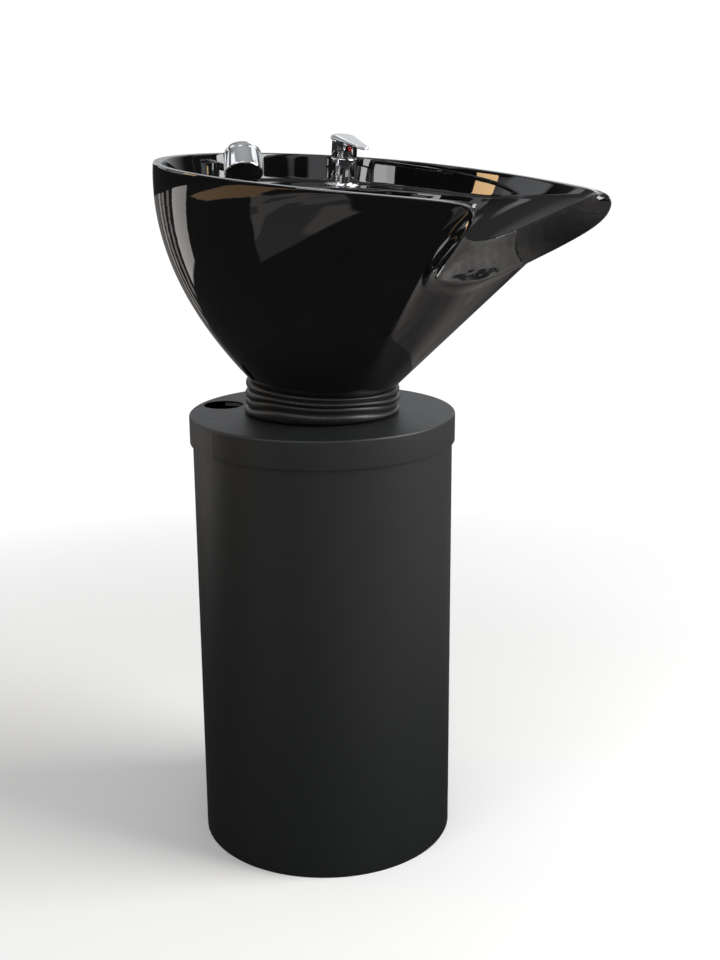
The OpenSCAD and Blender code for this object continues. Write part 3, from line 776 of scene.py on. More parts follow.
@dataclass
class BasinShape:
    """The basin's curves, in its own frame: 13 control points run from the back to the front.

    Each curve is a closed cubic B-spline through their neighbourhood, and the walls fall from
    the upper curves to circles at the foot and the drain.
    """

    rim: float = 318
    ledge: float = 280
    foot_r: float = 105 * MM
    foot_step: float = 26 * MM
    seat_r: float = 36 * MM
    seat_z: float = 62 * MM
    channel: float = 12 * MM
    outer: Array = field(init=False)
    inner: Array = field(init=False)
    wall: Array = field(init=False)
    edge: Array = field(init=False)
    under: Array = field(init=False)

    BEARING = (180, 150, 121, 93, 67, 47, 35, 30, 26, 21.5, 15.5, 8, 0)
    LIP = (0, 0, 0, 0, 0, 0, 0, 0.5, 1, 1, 1, 1, 1)

    def __post_init__(self) -> None:
        """Lays out the control points of the five curves."""
        rim, ledge = self.rim, self.ledge
        self.outer = mirrored([
            (-250, 0, rim), (-218, 126, rim), (-130, 218, rim), (-10, 251, rim), (115, 240, rim),
            (225, 203, rim), (312, 166, rim), (345, 159, rim - 4), (342, 173, rim - 30),
            (312, 163, rim - 60), (262, 138, rim - 93), (238, 72, rim - 115), (246, 0, rim - 121)])
        self.inner = mirrored([
            (-238, 0, rim), (-207, 120, rim), (-124, 208, rim), (-10, 240, rim), (112, 229, rim),
            (218, 192, rim), (300, 155, rim), (328, 142, rim), (327, 130, rim - 6),
            (305, 110, rim - 20), (270, 80, rim - 44), (252, 42, rim - 60), (250, 0, rim - 64)])
        self.wall = mirrored([
            (-229, 0, ledge), (-199, 115, ledge), (-118, 201, ledge), (-9, 232, ledge),
            (109, 222, ledge), (214, 187, rim - 20), (295, 152, rim - 8), (322, 139, rim - 5),
            (322, 128, rim - 11), (301, 108, rim - 25), (267, 78, rim - 48), (250, 41, rim - 64),
            (248, 0, rim - 68)])
        self.edge = mirrored([
            (-120, 0, ledge), (-107, 74, ledge), (-69, 139, ledge), (-12, 188, ledge),
            (105, 218, ledge), (212, 184, rim - 26), (291, 149, rim - 13), (316, 136, rim - 11),
            (318, 125, rim - 16), (298, 106, rim - 30), (264, 77, rim - 52), (247, 40, rim - 69),
            (245, 0, rim - 73)])
        self.under = mirrored([
            (-250, 0, rim - 8), (-218, 126, rim - 8), (-130, 218, rim - 8), (-10, 251, rim - 8),
            (115, 239, rim - 8), (221, 202, rim - 10), (298, 163, rim - 18), (292, 156, rim - 34),
            (280, 147, rim - 58), (260, 132, rim - 82), (234, 108, rim - 112), (223, 62, rim - 128),
            (227, 0, rim - 135)])

    @property
    def spans(self) -> int:
        """How many control points go round."""
        return len(self.outer)

    def bearing(self, t: Array) -> Array:
        """Returns the direction of each section, in radians: half a turn at the back, 0 in front."""
        ends = np.array(self.BEARING, float)
        line = np.concatenate([[360 - ends[1]], ends, -ends[-2:-4:-1]])
        h = np.minimum(t, self.spans - t)
        i = np.floor(h).astype(int)
        a = sum(w * line[i + k] for k, w in enumerate(cubic_weights(h - i)))
        return np.radians(np.where(t > self.spans / 2, -a, a))

    def lip(self, t: Array, k: Array | float, lift: Array | float = 0.0) -> Array:
        """The rim and the neck lip.

        Args:
            t: place round the basin, in control points.
            k: 0 on the outer edge and 1 on the inner ridge.
            lift: how far the point stands off the channel.

        Returns:
            mix(outer, inner, k) pushed towards a point in the bowl by channel * 4k(1 - k) - lift.
        """
        share = np.array(self.LIP + self.LIP[-2:0:-1], float)
        depth = self.channel * closed_spline(share, t)
        base = mix(closed_spline(self.outer, t), closed_spline(self.inner, t), np.asarray(k)[..., None])
        inwards = unit(np.array([0.140, 0, 0.150]) - base)
        return base + inwards * (depth * 4 * k * (1 - k) - lift)[..., None]

    def falling(self, top: Array, t: Array, r: float, z: float, v: float, deepest: float) -> Array:
        """A wall from a curve down to a circle.

        Args:
            top: the curve's control points.
            t: place round the basin.
            r, z: the circle at the foot of the wall.
            v: 0 at the top and 1 at the circle.
            deepest: how bellied the wall is at the back; in front it is straight.

        Returns:
            xy = mix(circle, curve, 1 - v^belly) and z = mix(curve, circle, v).
        """
        a = self.bearing(t)
        belly = 1 + (deepest - 1) * smooth((np.abs(np.degrees(a)) - 30) / 90)
        point = closed_spline(top, t)
        share = 1 - v**belly
        xy = mix(r * np.stack([np.cos(a), np.sin(a)], -1), point[:, :2], share[:, None])
        return np.concatenate([xy, mix(point[:, 2:], z, v)], -1)

    def outside(self, t: Array, v: float) -> Array:
        """Returns the outer wall at height v, 0 under the rim and 1 at the foot."""
        return self.falling(self.under, t, self.foot_r, self.foot_step, v, 2.05)

    def bowl(self, t: Array, v: float) -> Array:
        """Returns the bowl's wall at depth v, 0 at its edge and 1 at the drain's seat."""
        return self.falling(self.edge, t, self.seat_r, self.seat_z, v, 1.8)

    def circle(self, t: Array, r: float, z: float) -> Array:
        """Returns a level circle whose points lie on the sections' bearings."""
        a = self.bearing(t)
        return np.stack([r * np.cos(a), r * np.sin(a), np.full_like(a, z)], -1)


@dataclass
class Basin:
    """The ceramic basin and the gel pad in its neck lip."""

    shape: BasinShape
    place: Tilted
    around: int = 264  # sections round the basin
    fine: int = 3  # rows of faces to each control row
    foot_ring_r: float = 98 * MM
    foot_z: float = 20 * MM
    flange_z: float = 32 * MM
    foot_hole_r: float = 64 * MM
    drain_r: float = 24 * MM
    drain_under: float = 50 * MM
    wall_t: float = 10 * MM
    bowl_t: float = 9 * MM
    bowl_drop: float = 12 * MM
    drill_l: float = 110 * MM
    pad_from: float = 10.5  # in control points round the basin
    pad_to: float = 13.5
    pad_t: float = 7 * MM
    pad_lift: float = 0.6 * MM
    dimple: float = 0.35 * MM

    def rows(self, t: Array) -> Array:
        """The sections' control rows, from the foot up the outside, over the rim, down the bowl
        and back through the hollow between the walls.

        Args:
            t: places round the basin.

        Returns:
            (rows, len(t), 3) points in the basin's frame.
        """
        s = self.shape
        wall, edge = closed_spline(s.wall, t), closed_spline(s.edge, t)
        ridge = s.lip(t, 1.0)
        down = np.array([0, 0, self.bowl_drop])
        # the hollow reaches up under the ledge, fully where the ledge is 60 mm broad
        share = smooth(np.linalg.norm(wall - edge, axis=1) / (60 * MM))[:, None]

        def inward(points: Array, by: float) -> Array:
            """Returns points moved towards the axis, or away from it if `by` is negative."""
            r = np.linalg.norm(points[:, :2], axis=1, keepdims=True)
            return points * np.concatenate([1 - by / r, 1 - by / r, np.ones_like(r)], 1)

        # the foot's ring and step
        made = [s.circle(t, self.foot_hole_r, self.foot_z)] * 2
        made += [s.circle(t, self.foot_ring_r, self.foot_z)] * 2
        made += [s.circle(t, self.foot_ring_r, s.foot_step - 1 * MM)]
        made += [s.circle(t, s.foot_r - 1 * MM, s.foot_step)]
        # up the outside, over the rim or the neck lip, and down to the ledge
        made += [s.outside(t, v) for v in np.linspace(1, 0.04, 22)] + [s.outside(t, 0.012)]
        made += [s.lip(t, k) for k in (0, 0.12, 0.3, 0.5, 0.7, 0.88)]
        made += [ridge] + [mix(ridge, wall, k) for k in (0.2, 0.45, 0.7, 0.88)] + [wall]
        # across the ledge, down the bowl and through the drain
        made += [mix(wall, edge, k) for k in (0.08, 0.25, 0.5, 0.75, 0.92)] + [edge]
        made += [s.bowl(t, v) for v in np.linspace(0.03, 1, 20)]
        made += [s.circle(t, r, z) for r, z in (
            (s.seat_r - 1 * MM, s.seat_z - 2.5 * MM), (s.seat_r - 2 * MM, s.seat_z - 3 * MM),
            (self.drain_r, s.seat_z - 3 * MM), (self.drain_r, self.drain_under),
            (self.drain_r + 8 * MM, self.drain_under))]
        # back up under the bowl, down inside the outer wall and in along the foot's flange
        made += [inward(s.bowl(t, v), -self.bowl_t) - down for v in (0.97, 0.8, 0.6, 0.45)]
        made += [inward(mix(s.bowl(t, 0.30), s.bowl(t, 0.06), share), -self.bowl_t) - down]
        made += [inward(mix(s.outside(t, 0.30), s.outside(t, 0.18), share), self.wall_t)]
        made += [inward(s.outside(t, v), self.wall_t) for v in (0.45, 0.65, 0.82, 0.93)]
        made += [s.circle(t, r, self.flange_z) for r in (s.foot_r - 20 * MM, s.foot_r - 24 * MM)]
        made += [s.circle(t, self.foot_hole_r, self.flange_z)] * 2
        return np.stack(made)

    def shell(self) -> bpy.types.Object:
        """Returns the basin: the rows are the controls of a second cubic B-spline across."""
        t = np.arange(self.around) * (self.shape.spans / self.around)
        control = self.rows(t)
        grid = closed_spline(control, np.arange(len(control) * self.fine) / self.fine)
        made = grid_object("basin_shell", self.place.world(grid), around_rows=True)
        for axis, radius in (("mixer_swivel", 17.5 * MM), ("shower_turn", 16.5 * MM)):
            at = replace(self.place, origin=np.array(joint(axis)["pos_m"], float))
            combined(made, plug("drill", radius, -self.drill_l, 10 * MM, at, 48), "DIFFERENCE")
        return made

    def pad(self) -> bpy.types.Object:
        """The gel pad: a crowned strip in the channel, rounded where it ends, softly dimpled.

        Returns:
            The pad. Across it, the lower side lies pad_lift off the channel and the upper side
            stands off it by the thickness times a half ellipse; the thickness falls to the
            ends as a quarter circle.
        """
        rows, cols = 97, 64
        s = np.linspace(0, 1, rows)[:, None]
        a = turns(cols)[None, :]
        across = 0.5 - 0.47 * np.cos(a) * (1 + 0 * s)
        top = np.clip(np.sin(a), 0, 1) ** 0.55
        ends = np.clip(1 - (2 * s - 1) ** 14, 0, 1) ** 0.5
        dimples = (np.sin(23 * s + 5 * across) * np.sin(31 * across + 9 * s)
                   + 0.6 * np.sin(47 * s - 11 * across + 1.3))
        bulk = self.pad_t * (0.25 + 0.75 * ends) + self.dimple * dimples
        t = (mix(self.pad_from, self.pad_to, s) + 0 * a).ravel()
        lift = (self.pad_lift + top * bulk).ravel()
        narrowed = (0.5 + (across - 0.5) * (0.93 + 0.07 * ends)).ravel()
        grid = self.shape.lip(t, narrowed, lift).reshape(rows, cols, 3)
        middle = grid.mean(1, keepdims=True) + np.zeros((1, cols, 1))
        grid = np.concatenate([middle[:1], grid, middle[-1:]])
        return grid_object("neck_pad", self.place.world(grid))

    def build(self, wardrobe: Wardrobe) -> None:
        """Builds and dresses the basin and its pad.

        Args:
            wardrobe: gives the finishes.
        """
        keep(wardrobe.dress(self.shell(), Glaze()), Body.BASIN, "basin")
        pad = keep(wardrobe.dress(self.pad(), Gel()), Body.BASIN, "neck_cushion")


# ---------------------------------------------------------------- pedestal


@dataclass
class Pedestal:
    """The drum, its lid and the steel works inside; a bead is its height and width."""

    sheet: float = 1.5 * MM
    opening_r: float = 84 * MM
    hem: float = 5 * MM
    hem_h: float = 6 * MM
    weld_at: float = math.radians(232)
    weld: tuple[float, float] = (0.35 * MM, 2 * MM)
    seam_at: float = math.radians(258)
    seam: tuple[float, float] = (0.3 * MM, 1.6 * MM)

    def __post_init__(self) -> None:
        """Takes the sizes of the drum and the lid from the frame."""
        self.drum_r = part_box("pedestal_drum")[1].x
        self.drum_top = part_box("pedestal_drum")[1].z
        low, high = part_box("pedestal_lid")
        self.lid_r, self.lid_low, self.lid_top = high.x, low.z, high.z

    @staticmethod
    def shell(name: str, outline: Array, r: float, count: int, at: float,
              bead: tuple[float, float]) -> bpy.types.Object:
        """Turns an outline round the axis, with a bead down its outside.

        Args:
            name: the object's name.
            outline: (n, 2) points.
            r: the outside's radius.
            count: points round each circle.
            at: the bead's bearing.
            bead: its height h and width w; on the outside the radius gains h exp(-(arc / w)^2),
                and every radius is h less, so that the bead ends at r.

        Returns:
            The turned object.
        """
        a = turns(count)[None, :]
        height, width = bead
        gain = height * np.exp(-(((a - at) * r / width) ** 2))
        radius = outline[:, :1] + np.where(outline[:, :1] > r - 0.1 * MM, gain, 0) - height
        grid = np.stack([radius * np.cos(a), radius * np.sin(a), outline[:, 1:] + 0 * a], -1)
        return grid_object(name, grid, around_rows=True)

    def drum(self) -> bpy.types.Object:
        """Returns the drum: a sheet with a rolled hem at the floor and a weld bead down the back."""
        r, t = self.drum_r, self.sheet
        outline = rounded([
            (r, 0, 0.6 * MM), (r, self.drum_top, 0.4 * MM), (r - t, self.drum_top, 0.4 * MM),
            (r - t, self.hem_h, 0.5 * MM), (r - self.hem, self.hem_h, 1 * MM), (r - self.hem, 0, 1 * MM)], 5)
        long_sides = np.linspace(0, 1, 24)[1:-1, None]
        outside = mix(outline[4], outline[5], long_sides)
        inside = mix(outline[14], outline[15], long_sides)
        outline = np.vstack([outline[:5], outside, outline[5:15], inside, outline[15:]])
        return self.shell("drum_shell", outline, r, 256, self.weld_at, self.weld)

    def lid(self) -> bpy.types.Object:
        """Returns the lid: a pressed cap with a rounded edge, its sleeve opening and hose port."""
        r, t, top, skirt = self.lid_r, self.sheet, self.lid_top, self.lid_low
        outer, inner = 3.2 * MM, 1.7 * MM
        outline = rounded([
            (r, skirt, 0.5 * MM), (r, top, outer), (self.opening_r, top, 0.5 * MM),
            (self.opening_r, top - t, 0.5 * MM), (r - t, top - t, inner), (r - t, skirt, 0.5 * MM)], 8)
        flat = mix(outline[15], outline[16], np.linspace(0, 1, 24)[1:-1, None])
        outline = np.vstack([outline[:16], flat, outline[16:]])
        made = self.shell("lid_shell", outline, r, 300, self.seam_at, self.seam)
        port = frame["record"]["mounts"][-1]
        x, y = port["pos_m"][:2]
        hole = port["dims"]["r_mm"] * MM
        punch = plug("punch", hole, top - 20 * MM, top + 20 * MM, ROW.shifted((x, y, 0)), 96)
        combined(made, punch, "DIFFERENCE")
        return soft_edges(made, 0.5 * MM, 60)

    def build(self, wardrobe: Wardrobe) -> None:
        """Builds and dresses the drum and the lid, and dresses the works inside.

        Args:
            wardrobe: gives the finishes.
        """
        keep(wardrobe.dress(self.drum(), POWDER), Body.PEDESTAL, "pedestal_drum")
        keep(wardrobe.dress(self.lid(), POWDER), Body.PEDESTAL, "pedestal_lid")
        wardrobe.dress_nodes(POWDER, "lid_screws")
        wardrobe.dress_nodes(FRAME_STEEL, "base_plate", "frame_posts", "top_plate")
        wardrobe.dress_nodes(ZINC, "tilt_bracket", "bracket_bolts", "hinge_bolts", "hinge_nuts",
                             "tilt_cradle", "basin_bolts", "basin_nuts")
        wardrobe.dress_nodes(GASKET, "friction_washers", "cradle_gasket")


@dataclass
class Sleeve:
    """The rubber boot between the lid and the basin's foot, gathered into twisted pleats."""

    place: Tilted
    lid_top: float
    foot_step: float = 26 * MM
    inner_r: float = 100.5 * MM
    bulge: float = 9.5 * MM
    pleats: float = 4.0
    wall: float = 1.6 * MM
    twist: float = 1.5
    lid_gap: float = 0.3 * MM
    foot_gap: float = 0.4 * MM

    def fold(self, share: Array, a: Array) -> Array:
        """The boot's relief.

        Args:
            share: 0 at the lid and 1 at the foot.
            a: the angle round the axis.

        Returns:
            The bulge: half ellipses between creases, where the crease lines wander up and down
            round the boot, and every other pleat fades on one side.
        """
        wander = 0.34 * np.sin(a - 0.7) + 0.2 * np.sin(2 * a + 0.5) + 0.07 * np.sin(5 * a)
        phase = self.pleats * share + wander * np.sin(math.pi * share) * self.twist
        f = phase - np.floor(phase)
        tube = np.sqrt(np.clip(1 - (2 * f - 1) ** 2, 0, 1))
        odd = np.floor(phase) % 2
        shallow, uneven = 0.38 * odd * (1 + np.sin(a + 2.1)), 0.16 * (1 + np.sin(3 * a + phase))
        return tube * (1 - (shallow + uneven) / 2)

    def boot(self) -> bpy.types.Object:
        """Returns the boot: its height runs from the lid to the tilted foot at each angle."""
        rows, cols = 121, 288
        share = np.linspace(0, 1, rows)[:, None]
        a = turns(cols)[None, :]
        relief = self.fold(share, a)
        ends = smooth(share / 0.05) * smooth((1 - share) / 0.05)
        lean = np.stack([np.cos(a), np.sin(a), 0 * a], -1)[0] * (self.inner_r + self.bulge / 2)
        foot = self.place.world(lean + np.array([0, 0, self.foot_step - self.foot_gap]))[:, 2][None, :]
        z = mix(self.lid_top + self.lid_gap, foot, share)
        shift = (self.place.world(np.array([0, 0, self.foot_step]))[0]) * share
        outer_r = self.inner_r + self.wall + self.bulge * relief * (0.35 + 0.65 * ends)
        inner_r = outer_r - self.wall
        outer = np.stack([outer_r * np.cos(a) + shift, outer_r * np.sin(a), z], -1)
        inner = np.stack([inner_r * np.cos(a) + shift, inner_r * np.sin(a), z], -1)
        return grid_object("boot_sleeve", np.concatenate([outer, inner[::-1]]), around_rows=True)

    def build(self, wardrobe: Wardrobe) -> None:
        """Builds the boot from the lid up to the basin's tilted foot; Args as in Pedestal.build."""
        boot = wardrobe.dress(self.boot(), RUBBER)
        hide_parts("sleeve")
        top = float(self.place.world(np.array([0, 0, self.foot_step]))[2])
        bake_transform(boot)
        log.info("boot_sleeve bends between the pedestal and the basin")


# ---------------------------------------------------------------- mixer, shower and waste


@dataclass
class Mixer:
    """The single-lever mixer on the ledge; its paddle runs from -overhang to reach."""

    place: Tilted
    base_h: float = 4 * MM
    base_r: float = 27 * MM
    body_r: float = 19 * MM
    body_h: float = 40 * MM
    gap: float = 1 * MM
    reach: float = 74 * MM
    overhang: float = 21 * MM

    def ring(self) -> bpy.types.Object:
        """Returns the base ring: a flat flange with a coved top."""
        outline = rounded([
            (16 * MM, 0.05 * MM, 0), (self.base_r, 0.05 * MM, 0.5 * MM), (self.base_r, 1.8 * MM, 0.9 * MM),
            (self.body_r + 3 * MM, self.base_h, 2 * MM), (16 * MM, self.base_h, 0)])
        return lathe("mixer_ring", outline, self.place)

    def body(self) -> bpy.types.Object:
        """Returns the body: a barrel with rounded ends, its socket, and the shank below the ledge."""
        r, top = self.body_r, self.body_h - 0.2 * MM
        outline = rounded([
            (12 * MM, -44 * MM, 0.4 * MM), (15.8 * MM, -44 * MM, 0.5 * MM), (15.8 * MM, self.base_h, 0),
            (r, self.base_h, 0.4 * MM), (r + 0.3 * MM, 14 * MM, 30 * MM), (r - 0.3 * MM, top, 1.6 * MM),
            (16.2 * MM, top, 0.4 * MM), (16.2 * MM, 14 * MM, 0), (12 * MM, 14 * MM, 0)])
        return lathe("mixer_barrel", outline, self.place)

    def handle(self) -> bpy.types.Object:
        """The handle: a cap under a flat paddle that slopes down to a rounded tip.

        Returns:
            The union of the cap, a lathe, and the paddle, a row of flat superellipses whose
            half width is w(u) * (1 - |e|^p)^(1/p) near both ends, e running over the end.
        """
        at = self.place.shifted((0, 0, self.body_h + self.gap))
        outline = rounded([
            (0, 19 * MM, 0), (15.8 * MM, 19 * MM, 1 * MM), (15.8 * MM, 0, 0.5 * MM),
            (self.body_r, 0, 0.7 * MM), (self.body_r, 25 * MM, 2 * MM), (0, 25 * MM, 0)], 7, closed=False)
        cap = lathe("mixer_cap", outline, at, closed=False)
        u = np.linspace(0, 1, 73)[:, None]
        b = turns(56)[None, :]
        along = mix(-self.overhang, self.reach, smooth(u) * 0.25 + u * 0.75)
        rear = np.clip(1 - ((0.22 - u).clip(0) / 0.22) ** 2.2, 0, 1) ** 0.5
        tip = np.clip(1 - ((u - 0.80).clip(0) / 0.20) ** 2.4, 0, 1) ** 0.5
        half_w = mix(21 * MM, 10 * MM, smooth(u * 1.1)) * rear * tip + 0 * b
        half_t = mix(5.2 * MM, 2.1 * MM, smooth(u * 1.3)) * (0.25 + 0.75 * rear * tip)
        half_t = half_t * (rear * tip > 0)
        height = mix(28 * MM, 17.5 * MM, u**1.25)
        c, s = np.cos(b), np.sin(b)
        y = half_w * np.sign(c) * np.abs(c) ** 0.75
        lift = half_t * np.sign(s) * np.abs(s) ** 0.75
        crown = 1.1 * MM * (1 - (y / (20 * MM)) ** 2) * (lift > 0) * rear * tip
        grid = np.stack([along + 0 * b, y, height + lift + crown], -1)
        return combined(cap, grid_object("mixer_paddle", at.world(grid)), "UNION")

    def build(self, wardrobe: Wardrobe) -> None:
        """Builds and dresses the mixer; Args as in Pedestal.build."""
        keep(wardrobe.dress(self.ring(), CHROME), Body.BASIN, "mixer_base_ring")
        keep(wardrobe.dress(self.body(), CHROME), Body.BASIN, "mixer_body")
        keep(wardrobe.dress(self.handle(), CHROME), Body.HANDLE, "mixer_handle")
        wardrobe.dress_nodes(CREAM, "mixer_cartridge")
        wardrobe.dress_nodes(ZINC, "mixer_spindle")
        wardrobe.dress_nodes(RED, "index_dot")
        wardrobe.dress_nodes(GASKET, "mixer_washer")
        wardrobe.dress_nodes(BRASS, "mixer_locknut")


@dataclass
class HandShower:
    """The pull-out hand shower in its gland: place is the stem's frame and head is the barrel's."""

    place: Tilted
    head: Tilted
    stem_r: float = 10 * MM
    head_r: float = 27 * MM
    head_l: float = 38 * MM
    cone_r: float = 12 * MM
    cone_top: float = 11 * MM
    ring_step: float = 6.4 * MM

    def gland(self) -> bpy.types.Object:
        """Returns the gland: a stepped flange on the ledge with its threaded tube below."""
        bore = self.stem_r + 1 * MM
        outline = rounded([
            (bore, -34 * MM, 0.4 * MM), (15.5 * MM, -34 * MM, 0.6 * MM), (15.5 * MM, 0.05 * MM, 0),
            (20 * MM, 0.05 * MM, 0.5 * MM), (20 * MM, 3.8 * MM, 1.6 * MM), (14 * MM, 4 * MM, 1.2 * MM),
            (14 * MM, 8 * MM, 1.2 * MM), (bore, 8 * MM, 0.8 * MM)])
        return lathe("shower_gland_turned", outline, self.place, count=72)

    def cone(self) -> bpy.types.Object:
        """Returns the docking stem with its flange."""
        outline = rounded([
            (0, -30 * MM, 0), (self.stem_r, -30 * MM, 1 * MM), (self.stem_r, 8.4 * MM, 0.4 * MM),
            (self.cone_r, 8.6 * MM, 0.4 * MM), (self.cone_r, self.cone_top, 0.6 * MM),
            (0, self.cone_top, 0)], closed=False)
        return lathe("shower_stem", outline, self.place, closed=False, count=72)

    def body(self) -> bpy.types.Object:
        """Returns the head: a barrel with a seam ring and a recess for the spray face, on its neck."""
        r, back, front = self.head_r, -self.head_l / 2, self.head_l / 2
        outline = rounded([
            (0, back, 0), (r - 2 * MM, back, 2.5 * MM), (r, back + 5 * MM, 2.5 * MM),
            (r, back + 9 * MM, 0.3 * MM), (r - 0.7 * MM, back + 9.4 * MM, 0.2 * MM),
            (r - 0.7 * MM, back + 10.2 * MM, 0.2 * MM), (r, back + 10.6 * MM, 0.3 * MM),
            (r, front, 1.3 * MM), (r - 2 * MM, front, 0.8 * MM), (r - 2 * MM, front - 4 * MM, 0.3 * MM),
            (0, front - 4 * MM, 0)], closed=False)
        barrel = lathe("shower_head", outline, self.head, closed=False)
        neck = rounded([
            (0, self.cone_top + 0.3 * MM, 0), (self.cone_r, self.cone_top + 0.3 * MM, 0.8 * MM),
            (self.cone_r - 0.6 * MM, 26 * MM, 8 * MM), (self.cone_r - 1 * MM, 40 * MM, 6 * MM),
            (0, 40 * MM, 0)], closed=False)
        return combined(barrel, lathe("shower_neck", neck, self.place, closed=False, count=72), "UNION")

    def face(self) -> bpy.types.Object:
        """Returns the spray face: a dished disc with a raised ring and three rings of nozzles.

        The disc is a lathe, and so is the small dome that each nozzle repeats.
        """
        level = self.head_l / 2 - 4 * MM
        r = self.head_r - 2.3 * MM
        outline = rounded([
            (0, level + 0.05 * MM, 0), (r, level + 0.05 * MM, 0.3 * MM), (r, level + 3 * MM, 0.8 * MM),
            (r - 3 * MM, level + 3 * MM, 0.5 * MM), (r - 3.6 * MM, level + 2.2 * MM, 0.4 * MM),
            (0, level + 2.6 * MM, 0)], closed=False)
        disc = lathe("spray_disc", outline, self.head, closed=False)
        dome = rounded([(0, 0, 0), (1.1 * MM, 0, 0), (0.8 * MM, 1.5 * MM, 0.4 * MM), (0, 1.5 * MM, 0)],
                       4, closed=False)
        for ring in (1, 2, 3):
            out = self.ring_step * ring
            for angle in turns(6 * ring):
                at = self.head.shifted((out * math.cos(angle), out * math.sin(angle), level + 2 * MM))
                join(disc, lathe("nozzle", dome, at, closed=False, count=12))
        return disc

    def build(self, wardrobe: Wardrobe) -> None:
        """Builds and dresses the hand shower; Args as in Pedestal.build."""
        keep(wardrobe.dress(self.gland(), CHROME), Body.BASIN, "shower_gland")
        keep(wardrobe.dress(self.cone(), CHROME), Body.CONE, "shower_cone")
        keep(wardrobe.dress(self.body(), CHROME), Body.SHOWER, "hand_shower")
        keep(wardrobe.dress(self.face(), BLACK_PLASTIC), Body.SHOWER, "spray_face")
        wardrobe.dress_nodes(GASKET, "gland_washer")
        wardrobe.dress_nodes(BRASS, "gland_nut")


def join(piece: bpy.types.Object, other: bpy.types.Object) -> None:
    """Adds another object's faces to a piece's mesh, and removes the other object."""
    work = bmesh.new()
    work.from_mesh(piece.data)
    work.from_mesh(other.data)
    work.to_mesh(piece.data)
    work.free()
    bpy.data.objects.remove(other)


@dataclass
class Waste:
    """The drain, its strainer and the pipe down to the floor."""

    place: Tilted
    seat_z: float = 62 * MM
    tube_z: float = 30 * MM
    bore: float = 18.5 * MM
    tube_r: float = 22 * MM

    def flange(self) -> bpy.types.Object:
        """Returns the chromed drain flange, dished towards its bore, with its tube."""
        low, top = self.tube_z, self.seat_z
        outline = rounded([
            (self.bore, low, 0.3 * MM), (self.tube_r, low, 0.5 * MM), (self.tube_r, top - 2.9 * MM, 0),
            (34 * MM, top - 2.9 * MM, 0.3 * MM), (34 * MM, top - 1.2 * MM, 0.8 * MM), (31 * MM, top, 2 * MM),
            (26 * MM, top, 3 * MM), (self.bore, top - 1.5 * MM, 0.5 * MM)])
        return lathe("drain_flange", outline, self.place)

    def build(self, wardrobe: Wardrobe) -> None:
        """Builds and dresses the waste; Args as in Pedestal.build."""
        keep(wardrobe.dress(self.flange(), CHROME), Body.BASIN, "waste_flange")
        wardrobe.dress_nodes(CHROME, "hair_strainer")
        wardrobe.dress_nodes(GASKET, "waste_washer")
        wardrobe.dress_nodes(BRASS, "waste_nut", "hose_nuts")
        wardrobe.dress_nodes(BLACK_PLASTIC, "waste_tail", "tail_nut", "waste_hose")


@dataclass
class Hoses:
    """The braided supply hoses and the shower's hose, along listed routes in millimetres.

    `bend`, how near the hinge line a supply hose would bend, is not used; `slack`, the shower
    hose's give below the stem, is read but moves nothing.
    """

    place: Tilted
    hose_r: float = 6 * MM
    shower_r: float = 7 * MM
    pitch: float = 9 * MM
    bend: float = 30 * MM
    slack: float = 55 * MM

    HOT_UPPER = ((-109, 143, 235.4), (-110, 141, 212), (-109, 130, 180), (-94, 108, 136), (-68, 80, 88),
                 (-34, 58, 50), (-12, 44, 24), (-6.5, 40.5, 1.5))
    COLD_UPPER = ((-91, 143, 235.4), (-89, 142, 212), (-83, 140, 180), (-64, 118, 136), (-40, 90, 88),
                  (-14, 64, 50), (2, 47, 24), (6.5, 40.5, 2.8))
    HOT_LOWER = ((-6.5, 40.5, -1), (-7, 41, -30), (-20, 42, -80), (-50, 42, -160), (-64, 38, -300),
                 (-62, 36, -460), (-54, 36, -560), (-50, 36, -620))
    COLD_LOWER = ((6.5, 40.5, -1), (6.5, 41.5, -30), (4, 50, -80), (-2, 66, -160), (-10, 74, -300),
                  (-10, 70, -460), (-4, 62, -560), (0, 56, -620))
    SHOWER = ((-162, -10, 248.6), (-162, -10, 228), (-170, 14, 200), (-176, 56, 184), (-164, 104, 182),
              (-140, 140, 188), (-117, 157, 204), (-102, 158.5, 221), (-100, 158.5, 234.5))

    def supply(self, name: str, upper: Sequence, lower: Sequence) -> bpy.types.Object:
        """Returns one supply hose, from the mixer's shank to its nut, on one smooth line."""
        hinge = Tilted(self.place.origin, *np.eye(3))
        above = self.place.world(np.array(upper[:-1], float) * MM)
        below = hinge.world(np.array(lower[1:], float) * MM)
        line = through(np.vstack([above, below]), 260)
        return swept(name, line, self.hose_r, pitch=self.pitch)

    def build(self, wardrobe: Wardrobe) -> None:
        """Builds the hoses along their routes; Args as in Pedestal.build."""
        for name, upper, lower in (("hot_hose", self.HOT_UPPER, self.HOT_LOWER),
                                   ("cold_hose", self.COLD_UPPER, self.COLD_LOWER)):
            hose = wardrobe.dress(self.supply(name, upper, lower), Braid())
            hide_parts(f"{name}_upper", f"{name}_lower")
            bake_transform(hose)
        line = through(self.place.world(np.array(self.SHOWER, float) * MM), 160)
        hose = wardrobe.dress(swept("shower_hose_line", line, self.shower_r, pitch=self.pitch), Braid())
        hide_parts("shower_hose")
        top = line[0]
        tuple(top - self.slack * self.place.z)
        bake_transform(hose)
        log.info("hoses bend across their joints")


# ---------------------------------------------------------------- studio


